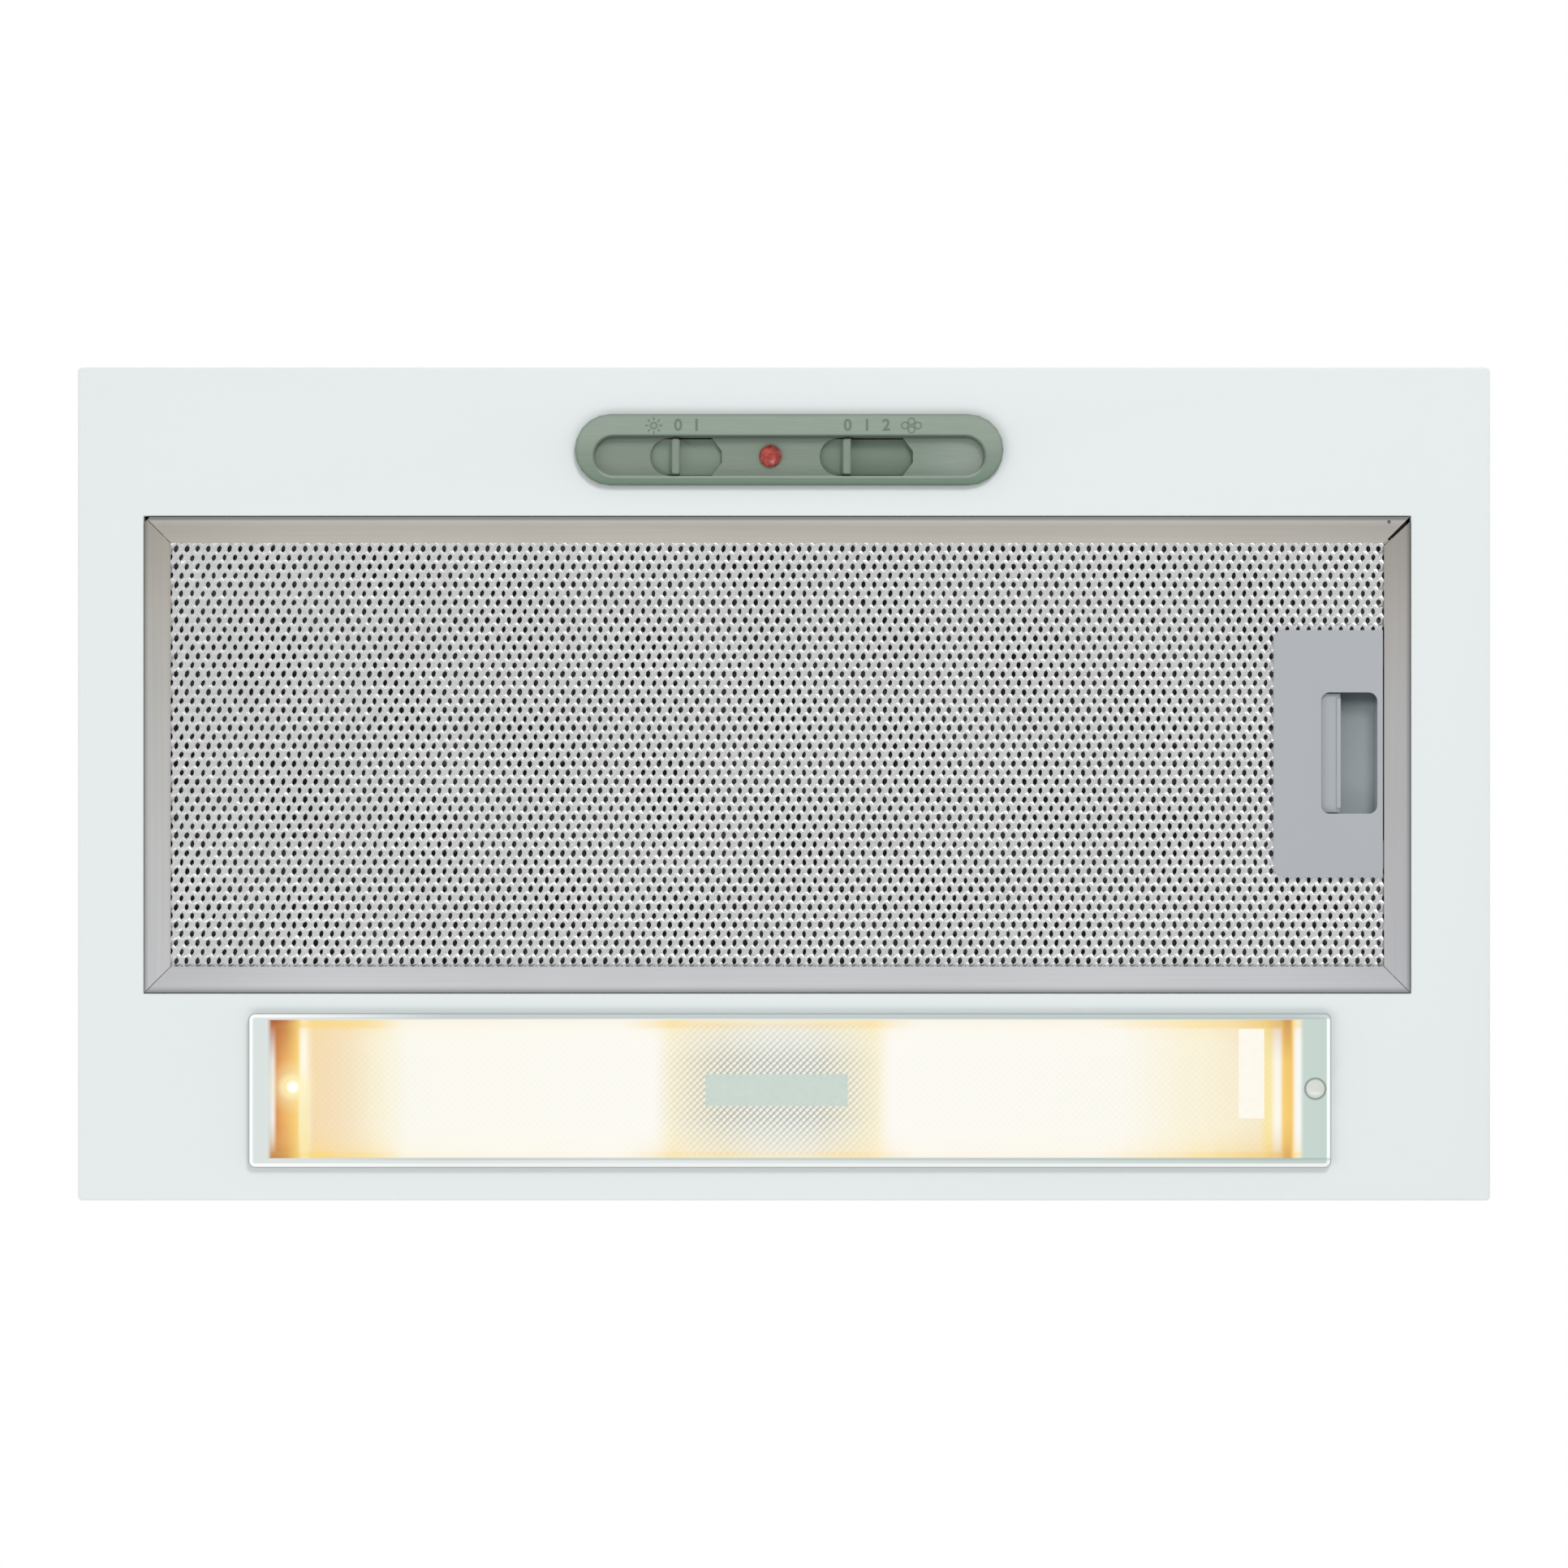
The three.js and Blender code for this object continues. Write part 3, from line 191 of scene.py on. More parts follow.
def blank(name):
    material = bpy.data.materials.new(name)
    material.use_nodes = True
    tree = material.node_tree
    return material, tree, tree.nodes["Principled BSDF"]


def add(tree, kind, **settings):
    node = tree.nodes.new(kind)
    for key, value in settings.items():
        setattr(node, key, value)
    return node


def place_of(tree, scale=(1, 1, 1), turn=0.0):
    """Object coordinates in millimetres, scaled and turned about Z."""
    where = add(tree, "ShaderNodeTexCoord")
    mapping = add(tree, "ShaderNodeMapping")
    mapping.inputs["Scale"].default_value = [1000 * s for s in scale]
    mapping.inputs["Rotation"].default_value = (0, 0, turn)
    tree.links.new(where.outputs["Object"], mapping.inputs["Vector"])
    return mapping.outputs["Vector"]


def axes_of(tree, scale=(1, 1, 1), turn=0.0):
    """The X, Y and Z sockets of place_of."""
    split = add(tree, "ShaderNodeSeparateXYZ")
    tree.links.new(place_of(tree, scale, turn), split.inputs["Vector"])
    return split.outputs


def calc(tree, operation, a, b=None, c=None):
    """One Math node; a, b and c are sockets or numbers."""
    node = add(tree, "ShaderNodeMath", operation=operation)
    for socket, value in zip(node.inputs, (a, b, c)):
        if isinstance(value, (int, float)):
            socket.default_value = value
        elif value is not None:
            tree.links.new(value, socket)
    return node.outputs[0]


def times(tree, first, *others):
    """The product of sockets and numbers."""
    for factor in others:
        first = calc(tree, "MULTIPLY", first, factor)
    return first


def hypotenuse(tree, a, b):
    return calc(tree, "SQRT", calc(tree, "MULTIPLY_ADD", a, a, times(tree, b, b)))


def outside_of(tree, value, centre, half):
    """How far a value lies outside a span round its centre; negative inside it."""
    off_centre = calc(tree, "ABSOLUTE", calc(tree, "SUBTRACT", value, centre))
    return calc(tree, "SUBTRACT", off_centre, half)


def ramp(tree, factor, stops):
    """A colour ramp with these (position, colour) stops."""
    node = add(tree, "ShaderNodeValToRGB")
    points = node.color_ramp.elements
    while len(points) < len(stops):
        points.new(0.5)
    for point, (at, colour) in zip(points, stops):
        point.position = at
        point.color = (*colour, 1)
    tree.links.new(factor, node.inputs["Fac"])
    return node.outputs["Color"]


def greys(stops):
    """Stops of (position, level) as stops of (position, grey colour)."""
    return [(at, (level,) * 3) for at, level in stops]


def tint(colour, factor):
    return tuple(min(1.0, c * factor) for c in colour)


def srgb(r, g, b):
    """A colour given by its screen values from 0 to 255, in linear light."""
    return tuple(((c / 255 + 0.055) / 1.055) ** 2.4 if c > 10 else c / 3295 for c in (r, g, b))


def banded(tree, axis, stops):
    """A colour that changes along an axis through these (millimetres, colour) stops."""
    start, end = stops[0][0], stops[-1][0]
    reach = calc(tree, "DIVIDE", calc(tree, "SUBTRACT", axes_of(tree)[axis], start), end - start)
    return ramp(tree, reach, [((at - start) / (end - start), colour) for at, colour in stops])


def shaded(tree, axis, stops):
    """A grey level that changes along an axis through these (millimetres, level) stops."""
    return banded(tree, axis, greys(stops))


def mixed(tree, factor, a, b, blend="MIX"):
    """Colour b over colour a; each is a socket or a colour, and factor a socket or a number."""
    node = add(tree, "ShaderNodeMix", data_type="RGBA", blend_type=blend)
    for key, value in (("Factor", factor), ("A", a), ("B", b)):
        if isinstance(value, bpy.types.NodeSocket):
            tree.links.new(value, node.inputs[key])
        else:
            node.inputs[key].default_value = value if key == "Factor" else (*value, 1)
    return node.outputs["Result"]


def noise_of(tree, scale, stretch=(1, 1, 1), detail=2.0, turn=0.0):
    node = add(tree, "ShaderNodeTexNoise")
    node.inputs["Scale"].default_value = scale
    node.inputs["Detail"].default_value = detail
    tree.links.new(place_of(tree, stretch, turn), node.inputs["Vector"])
    return node.outputs["Fac"]


def away_from(tree, spot):
    """The distance from a spot, in millimetres."""
    node = add(tree, "ShaderNodeVectorMath", operation="DISTANCE")
    tree.links.new(place_of(tree), node.inputs[0])
    node.inputs[1].default_value = spot
    return node.outputs["Value"]


def coat(name, colour, rough, metal=0.0, grain=1.0, stretch=(1, 1, 1), depth=0.02, spread=0.06,
         matte=0.08, bands=None, fade=None):
    """A surface whose fine noise, stretched for brushed metal, shifts its colour, roughness and
    height. bands is (axis, stops), and takes the place of the plain colour; fade multiplies it."""
    material, tree, shader = blank(name)
    level = noise_of(tree, grain, stretch, 3.0)
    both = calc(tree, "MULTIPLY_ADD", noise_of(tree, 0.02), 0.4, times(tree, level, 0.6))
    tone = ramp(tree, both, greys([(0.3, 1 - 2 * spread), (0.7, 1)]))
    base = banded(tree, *bands) if bands else tint(colour, 1 + spread)
    if fade:
        base = mixed(tree, 1.0, base, banded(tree, *fade), "MULTIPLY")
    tree.links.new(mixed(tree, 1.0, base, tone, "MULTIPLY"), shader.inputs["Base Color"])
    rough_now = calc(tree, "MULTIPLY_ADD", level, 2 * matte, max(0.02, rough - matte))
    tree.links.new(rough_now, shader.inputs["Roughness"])
    shader.inputs["Metallic"].default_value = metal
    if depth:
        bump = add(tree, "ShaderNodeBump")
        bump.inputs["Strength"].default_value = 0.6
        bump.inputs["Distance"].default_value = depth * MM
        tree.links.new(level, bump.inputs["Height"])
        tree.links.new(bump.outputs["Normal"], shader.inputs["Normal"])
    return material


def from_line(tree, x, y, half):
    """How far a point is, in millimetres, from a line along X with its middle at (x, y)."""
    spot = axes_of(tree)
    along = calc(tree, "MAXIMUM", outside_of(tree, spot["X"], x, half), 0.0)
    return hypotenuse(tree, along, calc(tree, "SUBTRACT", spot["Y"], y))


def steps_of(tree, distance, stops):
    """A grey level that changes through these (millimetres, level) stops, up to 20 mm."""
    part = calc(tree, "DIVIDE", distance, 20.0)
    return ramp(tree, part, greys([(at / 20, level) for at, level in stops]))


# lines along X, as (middle x, y, half length), that the bezel's round-ended shapes surround
RECESS_LINE = (1.9, -115.8, 62.0)
BEZEL_LINE = (1.85, -118.1, 63.15)


def recess_floor_with_painted_shadow(tree):
    """The bezel's sunk floor, with a painted shadow under its upper edge, lighter towards its right
    end.
    """
    floor_tone = banded(tree, "X", [(-67.0, srgb(133, 147, 133)), (0.0, srgb(133, 147, 133)),
                                    (48.0, srgb(136, 150, 137)), (60.0, srgb(147, 160, 149))])
    # painted shadow under the recess's upper edge
    shade = shaded(tree, "Y", [(-123.0, 0.55), (-121.6, 0.86), (-119.0, 1.0), (-109.0, 1.0)])
    return mixed(tree, 1.0, floor_tone, shade, "MULTIPLY")


def bezel_plastic(name):
    """Green plastic with painted light: the rim painted lighter at the top and darker towards the
    bottom, a painted shadow and a painted highlight line round the round-ended recess, and painted
    shade where the outer edge falls off.
    """
    material, tree, shader = blank(name)
    # painted light on the rim: lighter at the top, darker towards the bottom
    rim = banded(tree, "Y", [(-131.0, srgb(150, 163, 151)), (-123.0, srgb(148, 162, 149)),
                             (-115.0, srgb(132, 148, 134)), (-108.0, srgb(119, 139, 122)),
                             (-105.4, srgb(108, 132, 112))])
    # painted shadow along the recess wall's upper side, painted highlight along its lower side
    edge = banded(tree, "Y", [(-123.4, srgb(82, 96, 84)), (-119.0, srgb(98, 112, 99)),
                              (-112.0, srgb(122, 137, 123)), (-109.6, srgb(158, 171, 158))])
    # painted shade where the bezel's outer edge rounds away
    edge_fall_painted_shade = banded(tree, "Y", [(-131, srgb(116, 130, 118)), (-110, srgb(70, 90, 74))])
    track = from_line(tree, *RECESS_LINE)
    shown = mixed(tree, steps_of(tree, track, [(6.9, 1), (7.2, 0)]), rim, recess_floor_with_painted_shadow(tree))
    wall = steps_of(tree, track, [(6.3, 0), (6.9, 0.85), (7.4, 0.85), (7.9, 0)])
    shown = mixed(tree, wall, shown, edge)
    fall = steps_of(tree, from_line(tree, *BEZEL_LINE), [(11.4, 0), (12.2, 0.35), (12.6, 0.9)])
    shown = mixed(tree, fall, shown, edge_fall_painted_shade)
    grain = ramp(tree, noise_of(tree, 0.8, (0.12, 3, 1)), greys([(0.3, 0.92), (0.7, 1.0)]))
    tree.links.new(mixed(tree, 1.0, shown, grain, "MULTIPLY"), shader.inputs["Base Color"])
    shader.inputs["Roughness"].default_value = 0.42
    return material


def spangled(name, colour):
    """Galvanised sheet: flat crystals, each with its own brightness and roughness."""
    material, tree, shader = blank(name)
    cells = add(tree, "ShaderNodeTexVoronoi")
    cells.inputs["Scale"].default_value = 0.11
    tree.links.new(place_of(tree), cells.inputs["Vector"])
    parts = add(tree, "ShaderNodeSeparateColor")
    tree.links.new(cells.outputs["Color"], parts.inputs["Color"])
    streaks = noise_of(tree, 0.6, (1, 3, 1), turn=0.6)
    level = calc(tree, "MULTIPLY_ADD", streaks, 0.4, times(tree, parts.outputs["Red"], 0.6))
    shades = ramp(tree, level, [(0.1, tint(colour, 0.82)), (0.9, tint(colour, 1.12))])
    tree.links.new(shades, shader.inputs["Base Color"])
    rough = calc(tree, "MULTIPLY_ADD", parts.outputs["Green"], 0.22, 0.3)
    tree.links.new(rough, shader.inputs["Roughness"])
    shader.inputs["Metallic"].default_value = 0.9
    return material


WHITE = coat("white_powder_coat", (0.80, 0.845, 0.845), 0.42, grain=0.9, depth=0.006,
             spread=0.004, matte=0.04)
ZINC_SHEET = spangled("galvanised_sheet", (0.62, 0.64, 0.66))
# painted shade and highlight on the top and bottom rails: a dark line on each outer rounded edge
# with a light line inside it, the bottom rail painted lighter than the top one, and painted shade
# towards the ends
RAIL_X_PAINTED_SHADE = coat("rail_brushed_along_x", (0.5, 0.5, 0.5), 0.36, 0.45, 0.5, (0.02, 3, 3), 0.006, 0.05,
              bands=("Y", [
    (-95.0, srgb(150, 149, 144)), (-93.5, srgb(160, 159, 152)), (-93.1, srgb(214, 212, 206)),
    (-92.2, srgb(208, 204, 196)), (-91.0, srgb(202, 197, 189)), (-85.3, srgb(205, 201, 190)),
    (64.6, srgb(225, 226, 229)), (71.4, srgb(227, 228, 231)), (72.4, srgb(212, 212, 214)),
    (73.2, srgb(176, 176, 178)), (74.0, srgb(160, 160, 160))]), fade=("X", [
        (-222.0, (0.86, 0.86, 0.86)), (-190.0, (0.96, 0.96, 0.96)), (-165.0, (1.0, 1.0, 1.0)),
        (140.0, (1.0, 1.0, 1.0)), (180.0, (0.95, 0.95, 0.96)), (218.0, (0.87, 0.88, 0.9))]))
# painted shade and highlight on the side rails: dark lines on the rounded edges with light lines
# beside them, and painted shade that darkens towards the top end and warms the colour there
RAIL_Y_PAINTED_SHADE = coat("rail_brushed_along_y", (0.5, 0.5, 0.5), 0.36, 0.45, 0.5, (3, 0.02, 3), 0.006, 0.05,
              bands=("X", [
    (-226.5, srgb(150, 152, 150)), (-225.6, srgb(176, 177, 174)), (-225.0, srgb(208, 208, 206)),
    (-217.4, srgb(214, 212, 209)), (-217.0, srgb(186, 186, 182)), (212.3, srgb(204, 202, 200)),
    (213.2, srgb(202, 201, 201)), (219.8, srgb(201, 201, 202)), (220.8, srgb(176, 176, 177)),
    (221.6, srgb(140, 142, 142))]), fade=("Y", [
        (-93.0, (0.72, 0.68, 0.61)), (-85.0, (0.77, 0.73, 0.67)), (-60.0, (0.90, 0.87, 0.82)),
        (-25.0, (0.96, 0.96, 0.95)), (0.0, (1.0, 1.0, 1.0)), (60.0, (1.02, 1.03, 1.07))]))
FOIL = coat("expanded_foil", (0.90, 0.905, 0.91), 0.26, 0.8, 0.8, (1, 1, 1), 0.03, 0.08, 0.10)
# painted shade: the second sheet's aluminium is coloured dark for the shade it lies in behind the
# outer sheet
FOIL_BACK_PAINTED_SHADE = coat("expanded_foil_behind", (0.085, 0.086, 0.09), 0.40, 0.9, 0.34, (1, 1, 1), 0.03,
                 0.47, 0.10)
# painted shade: the filter's inner aluminium layers coloured near black for the shade deep inside
# the filter, also used for the dark sheet behind the frame's open corner
FOIL_CORE_PAINTED_SHADE = coat("foil_core", (0.009, 0.009, 0.01), 0.6, 0.3, 0.4, (1, 1, 1), 0.2, 0.3, 0.10)
LATCH_GREY = coat("latch_plastic", srgb(176, 180, 185), 0.40, grain=2.0, depth=0.006, spread=0.02)
SLIDE_GREY = coat("latch_slide_plastic", srgb(174, 180, 183), 0.38, grain=2.0, depth=0.006,
                  spread=0.02)
# painted shade: the plastic inside the finger pull is darker than the plate, with a painted shadow
# under the pull's upper edge
LATCH_PULL_PAINTED_SHADE = coat("latch_plastic_in_the_pull", (0.2, 0.2, 0.2), 0.42, grain=2.0, depth=0.006,
                  spread=0.02,
                  bands=("Y", [(-33, srgb(84, 97, 103)), (-30.2, srgb(96, 110, 116)),
                               (-27.6, srgb(158, 167, 170)), (11, srgb(170, 178, 181))]))
BEZEL_GREEN = bezel_plastic("bezel_plastic")
KNOB_GREEN = coat("knob_plastic", srgb(133, 148, 134), 0.40, grain=3.0, depth=0.01, spread=0.06)
# painted shade: the fan knob is the light knob's plastic made darker for the shade in the fan's slot
KNOB_PAINTED_SHADE = coat("fan_knob_plastic", srgb(121, 137, 123), 0.40, grain=3.0, depth=0.01, spread=0.06)
RIDGE_GREEN = coat("knob_ridge_plastic", srgb(132, 145, 133), 0.34, grain=3.0, depth=0.01,
                   spread=0.05)
BLACK = coat("black_plastic", (0.022, 0.022, 0.024), 0.42, grain=1.5, depth=0.02, spread=0.15)
SCROLL_BLACK = coat("scroll_plastic", (0.03, 0.03, 0.033), 0.5, grain=1.2, depth=0.03, spread=0.2)
FAN_GREY = coat("impeller_plastic", (0.16, 0.17, 0.175), 0.45, grain=1.2, depth=0.02, spread=0.08)
FLAP_GREY = coat("flap_plastic", (0.12, 0.125, 0.13), 0.45, grain=1.2, depth=0.02, spread=0.1)
BRIGHT = coat("zinc_plated_steel", (0.62, 0.64, 0.63), 0.26, 1.0, 0.8, (1, 1, 1), 0.01, 0.06)
SPRING = coat("spring_steel", (0.22, 0.235, 0.25), 0.34, 1.0, 0.6, (0.1, 2, 2), 0.01, 0.2)
STACK = coat("laminations", (0.24, 0.25, 0.26), 0.5, 0.85, 0.5, (4, 0.1, 0.1), 0.12, 0.25)
COPPER = coat("winding_copper", (0.52, 0.19, 0.07), 0.34, 0.9, 0.5, (0.4, 4, 4), 0.15, 0.25)
BRONZE = coat("bearing_bronze", (0.48, 0.31, 0.13), 0.42, 1.0, 2.0, (1, 1, 1), 0.02, 0.12)
MOTOR_ZINC = coat("motor_cap_zinc", (0.52, 0.53, 0.53), 0.34, 1.0, 0.4, (3, 0.5, 0.5), 0.01, 0.08)
REFLECTOR = coat("reflector_enamel", (0.82, 0.83, 0.80), 0.3, grain=0.8, depth=0.01, spread=0.02)
PORCELAIN = coat("lampholder_steatite", (0.76, 0.74, 0.67), 0.55, grain=1.0, depth=0.02,
                 spread=0.04)
CAN = coat("capacitor_can", (0.66, 0.67, 0.68), 0.3, 1.0, 0.5, (3, 3, 0.05), 0.01, 0.06)
LABEL = coat("plain_label", (0.72, 0.73, 0.70), 0.5, grain=1.0, depth=0.004, spread=0.02)
MARKING = coat("legend_grey", srgb(112, 126, 113), 0.5, grain=1.0, depth=0.0, spread=0.02)


# painted glow of the lit cover, from its left end to its right end, as (x in millimetres, colour)
GLOW_ALONG = [
    (-189.2, srgb(214, 224, 220)), (-181.9, srgb(212, 223, 219)), (-181.6, srgb(250, 252, 248)),
    (-180.3, srgb(250, 248, 238)), (-180.0, srgb(214, 138, 66)), (-177.0, srgb(238, 176, 98)),
    (-171.8, srgb(252, 214, 120)), (-170.9, srgb(255, 250, 226)), (-168.0, srgb(255, 252, 232)),
    (-167.2, srgb(246, 218, 172)), (-155.0, srgb(246, 226, 190)), (-143.0, srgb(251, 243, 216)),
    (-132.0, srgb(252, 250, 240)), (-46.0, srgb(252, 250, 243)), (-39.5, srgb(251, 243, 216)),
    (-30.0, srgb(247, 241, 220)), (-8.0, srgb(243, 243, 235)), (8.0, srgb(243, 243, 235)),
    (24.0, srgb(247, 242, 220)), (32.0, srgb(251, 242, 212)), (38.0, srgb(252, 250, 243)),
    (118.0, srgb(252, 250, 241)), (140.0, srgb(251, 244, 220)), (168.6, srgb(249, 236, 204)),
    (169.6, srgb(250, 232, 162)), (172.0, srgb(252, 236, 168)), (172.6, srgb(255, 253, 242)),
    (175.7, srgb(255, 252, 236)), (176.3, srgb(250, 212, 116)), (179.4, srgb(249, 204, 108)),
    (180.0, srgb(252, 250, 240)), (182.2, srgb(250, 251, 246)),
]
HATCH = 1.66                            # between neighbouring rows of prisms
COVER_LO, COVER_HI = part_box("lamp_cover")
COVER_FACE = COVER_LO.z / MM
COVER_ROUND = 2.4                       # radius of the cover's corners
GLOW_SPOT = middle_of("cover_screw_left")


def piped_light(tree, shown):
    """Adds painted light along the cover's long edges and its left rib, and painted warm shade in
    the corners of its orange ends.
    """
    edges = shaded(tree, "Y", [(83.0, 0), (83.4, 0.9), (85.6, 1.0), (86.8, 0.25), (92.0, 0),
                               (121.0, 0), (126.0, 0.25), (129.5, 0.5), (130.4, 1.0), (132.2, 0.9)])
    ends = shaded(tree, "X", [(-180.0, 0.9), (-168.0, 0.9), (-150.0, 0.75), (-135.0, 0.15),
                              (-60.0, 0.10), (-40.0, 0.55), (-8.0, 0.4), (30.0, 0.55), (48.0, 0.12),
                              (110.0, 0.15), (140.0, 0.5), (178.0, 1.0), (181.0, 0.6)])
    uneven = calc(tree, "ADD", noise_of(tree, 0.06, (1, 0.2, 1)), 0.4)
    shown = mixed(tree, times(tree, edges, ends, uneven), shown, srgb(251, 216, 124))
    rib = shaded(tree, "X", [(-171.0, 0), (-170.6, 1), (-168.1, 1), (-167.7, 0)])
    lower = shaded(tree, "Y", [(100.0, 0), (112.0, 0.55), (126.0, 0.8), (131.0, 0.6)])
    shown = mixed(tree, times(tree, rib, lower), shown, srgb(250, 232, 158))
    corner = shaded(tree, "Y", [(83.4, 1.0), (87.0, 0.75), (98.0, 0.15), (118.0, 0.05),
                                (126.0, 0.3), (132.2, 0.8)])
    at_end = shaded(tree, "X", [(-180.0, 1), (-176.0, 0.8), (-171.6, 0.15), (-170.8, 0), (150.0, 0),
                                (170.0, 0.16), (172.6, 0.3), (176.3, 0.4), (176.5, 0.6),
                                (179.4, 0.65), (180.0, 0)])
    return mixed(tree, times(tree, corner, at_end), shown, srgb(176, 84, 20))


def prism_rows(tree, shown):
    """Adds painted shade lines between the diagonal rows of prisms, strongest between the lamps."""
    over_x = shaded(tree, "X", [(-170.0, 0.02), (-150.0, 0.05), (-120.0, 0.02), (-46.0, 0.02),
                                (-37.0, 0.25), (-22.0, 0.62), (14.0, 0.62), (27.0, 0.3),
                                (36.0, 0.02), (170.0, 0.04)])
    over_y = shaded(tree, "Y", [(84.0, 0.15), (91.0, 0.5), (98.0, 1), (118.0, 1), (125.0, 0.5),
                                (131.0, 0.15)])
    for turn, weight in ((math.pi / 4, 0.5), (-math.pi / 4, 1.0)):
        row = axes_of(tree, (1 / HATCH, 1 / HATCH, 1), turn)["X"]
        off_row = calc(tree, "ABSOLUTE", calc(tree, "SUBTRACT", calc(tree, "FRACT", row), 0.5))
        painted_groove_shade = ramp(tree, off_row, greys([(0.18, 0), (0.46, 1)]))
        shown = mixed(tree, times(tree, painted_groove_shade, over_x, over_y, weight), shown, srgb(120, 128, 112))
    return shown


def from_outline(tree):
    """How far inside the cover's outline, with its round corners, a point is, in millimetres."""
    spot = axes_of(tree)
    middle, half = (COVER_LO + COVER_HI) / 2 / MM, (COVER_HI - COVER_LO) / 2 / MM
    gaps = [outside_of(tree, spot["X"], middle.x, half.x - COVER_ROUND),
            outside_of(tree, spot["Y"], middle.y, half.y - COVER_ROUND)]
    past_corner = hypotenuse(tree, *[calc(tree, "MAXIMUM", gap, 0.0) for gap in gaps])
    deep = calc(tree, "MINIMUM", calc(tree, "MAXIMUM", *gaps), 0.0)
    return calc(tree, "SUBTRACT", COVER_ROUND, calc(tree, "ADD", past_corner, deep))


def cover_margins(tree, shown):
    """Adds the margins round the window, their pale colour emitted like the rest, a painted dark
    outline and painted highlight along the outer rim, and painted shade along the long edges.
    """
    margin = banded(tree, "X", [(-189.2, srgb(219, 227, 224)), (-60.0, srgb(240, 245, 242)),
                                (60.0, srgb(226, 234, 230)), (193.3, srgb(196, 213, 206))])
    past_y = shaded(tree, "Y", [(80.0, 1), (83.1, 1), (83.5, 0), (132.0, 0), (132.3, 1),
                                (136.0, 1)])
    past_x = shaded(tree, "X", [(-190.0, 1), (-181.9, 1), (-181.6, 0), (182.2, 0), (182.6, 1),
                                (194.0, 1)])
    shown = mixed(tree, calc(tree, "MAXIMUM", past_x, past_y), shown, margin)
    inward = calc(tree, "DIVIDE", from_outline(tree), 10.0)
    # painted dark outline at the very edge and a painted highlight just inside it
    border = ramp(tree, inward, [(0.0, srgb(150, 160, 158)), (0.035, srgb(176, 184, 182)),
                                 (0.055, srgb(252, 254, 253)), (0.13, srgb(255, 255, 255)),
                                 (0.16, srgb(255, 255, 255))])
    shown = mixed(tree, ramp(tree, inward, greys([(0.14, 1), (0.18, 0)])), shown, border)
    # painted shade along the cover's long edges
    long_edge_shade_y = shaded(tree, "Y", [(80.9, 0.7), (82.7, 0.7), (83.1, 0), (131.8, 0), (132.2, 0.6),
                                (132.7, 0.55), (133.1, 0.17), (134.9, 0.17), (135.2, 0)])
    long_edge_shade_x = shaded(tree, "X", [(-182.0, 0), (-168.0, 0.15), (-120.0, 0.9), (180.0, 1.0),
                                (192.0, 0.8)])
    return mixed(tree, times(tree, long_edge_shade_y, long_edge_shade_x), shown, srgb(158, 172, 172))


def lit_cover(name, strength, hatched):
    """Clear ribbed cover over the lamps, its whole look emitted and painted by position: the bulbs'
    warm glow painted in the window, painted light piped along its edges, the pale margins, a painted
    flare round the left screw and, where the prisms are, painted shade between their rows."""
    material, tree, shader = blank(name)
    shown = piped_light(tree, banded(tree, "X", GLOW_ALONG))
    if hatched:
        shown = prism_rows(tree, shown)
    shown = cover_margins(tree, shown)
    from_screw = away_from(tree, (GLOW_SPOT.x, GLOW_SPOT.y, COVER_FACE))
    flare = steps_of(tree, from_screw, [(0.0, 1), (3.0, 0.85), (5.4, 0.3), (10.0, 0)])
    shown = mixed(tree, flare, shown, srgb(255, 246, 196))
    tree.links.new(shown, shader.inputs["Emission Color"])
    shader.inputs["Emission Strength"].default_value = strength
    shader.inputs["Base Color"].default_value = (0.02, 0.02, 0.02, 1)
    shader.inputs["Specular IOR Level"].default_value = 0.2
    shader.inputs["Roughness"].default_value = 0.16
    return material


COVER_SKIN = lit_cover("clear_cover_lit", 0.96, False)
COVER_PRISMS = lit_cover("prismatic_cover_lit", 0.97, True)


def red_jewel():
    """Faceted red lens with a glow in it."""
    material, tree, shader = blank("pilot_red")
    deep, bright = (0.20, 0.014, 0.010), (0.44, 0.05, 0.035)
    reds = ramp(tree, noise_of(tree, 0.5), [(0.35, deep), (0.65, bright)])
    tree.links.new(reds, shader.inputs["Base Color"])
    tree.links.new(reds, shader.inputs["Emission Color"])
    shader.inputs["Emission Strength"].default_value = 0.14
    shader.inputs["Roughness"].default_value = 0.06
    shader.inputs["Coat Weight"].default_value = 1.0
    return material


RED = red_jewel()


def glowing(name, strength, base, inner, outer, spot=None, reach=4.0):
    """An emitting surface, used for the lit bulbs and for painted glow on the screw and plates,
    which are no lamps; with a spot, it goes from inner to outer colour over reach, in millimetres.
    """
    material, tree, shader = blank(name)
    level = noise_of(tree, 0.4)
    if spot:
        level = calc(tree, "DIVIDE", away_from(tree, spot), reach)
    shown = ramp(tree, level, [(0.3, inner), (0.95, outer)])
    tree.links.new(shown, shader.inputs["Emission Color"])
    shader.inputs["Emission Strength"].default_value = strength
    shader.inputs["Base Color"].default_value = (*base, 1)
    shader.inputs["Roughness"].default_value = 0.22
    return material


# painted light: the left screw head glows as a white and yellow hot spot of the bulbs' light
HOT_SPOT = (GLOW_SPOT.x + 0.6, GLOW_SPOT.y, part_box("cover_screw_left")[0].z / MM)
SCREW_PAINTED_GLOW = glowing("glowing_screw", 0.92, (0.2, 0.16, 0.1), srgb(255, 255, 250), srgb(252, 206, 112),
              HOT_SPOT, 3.6)
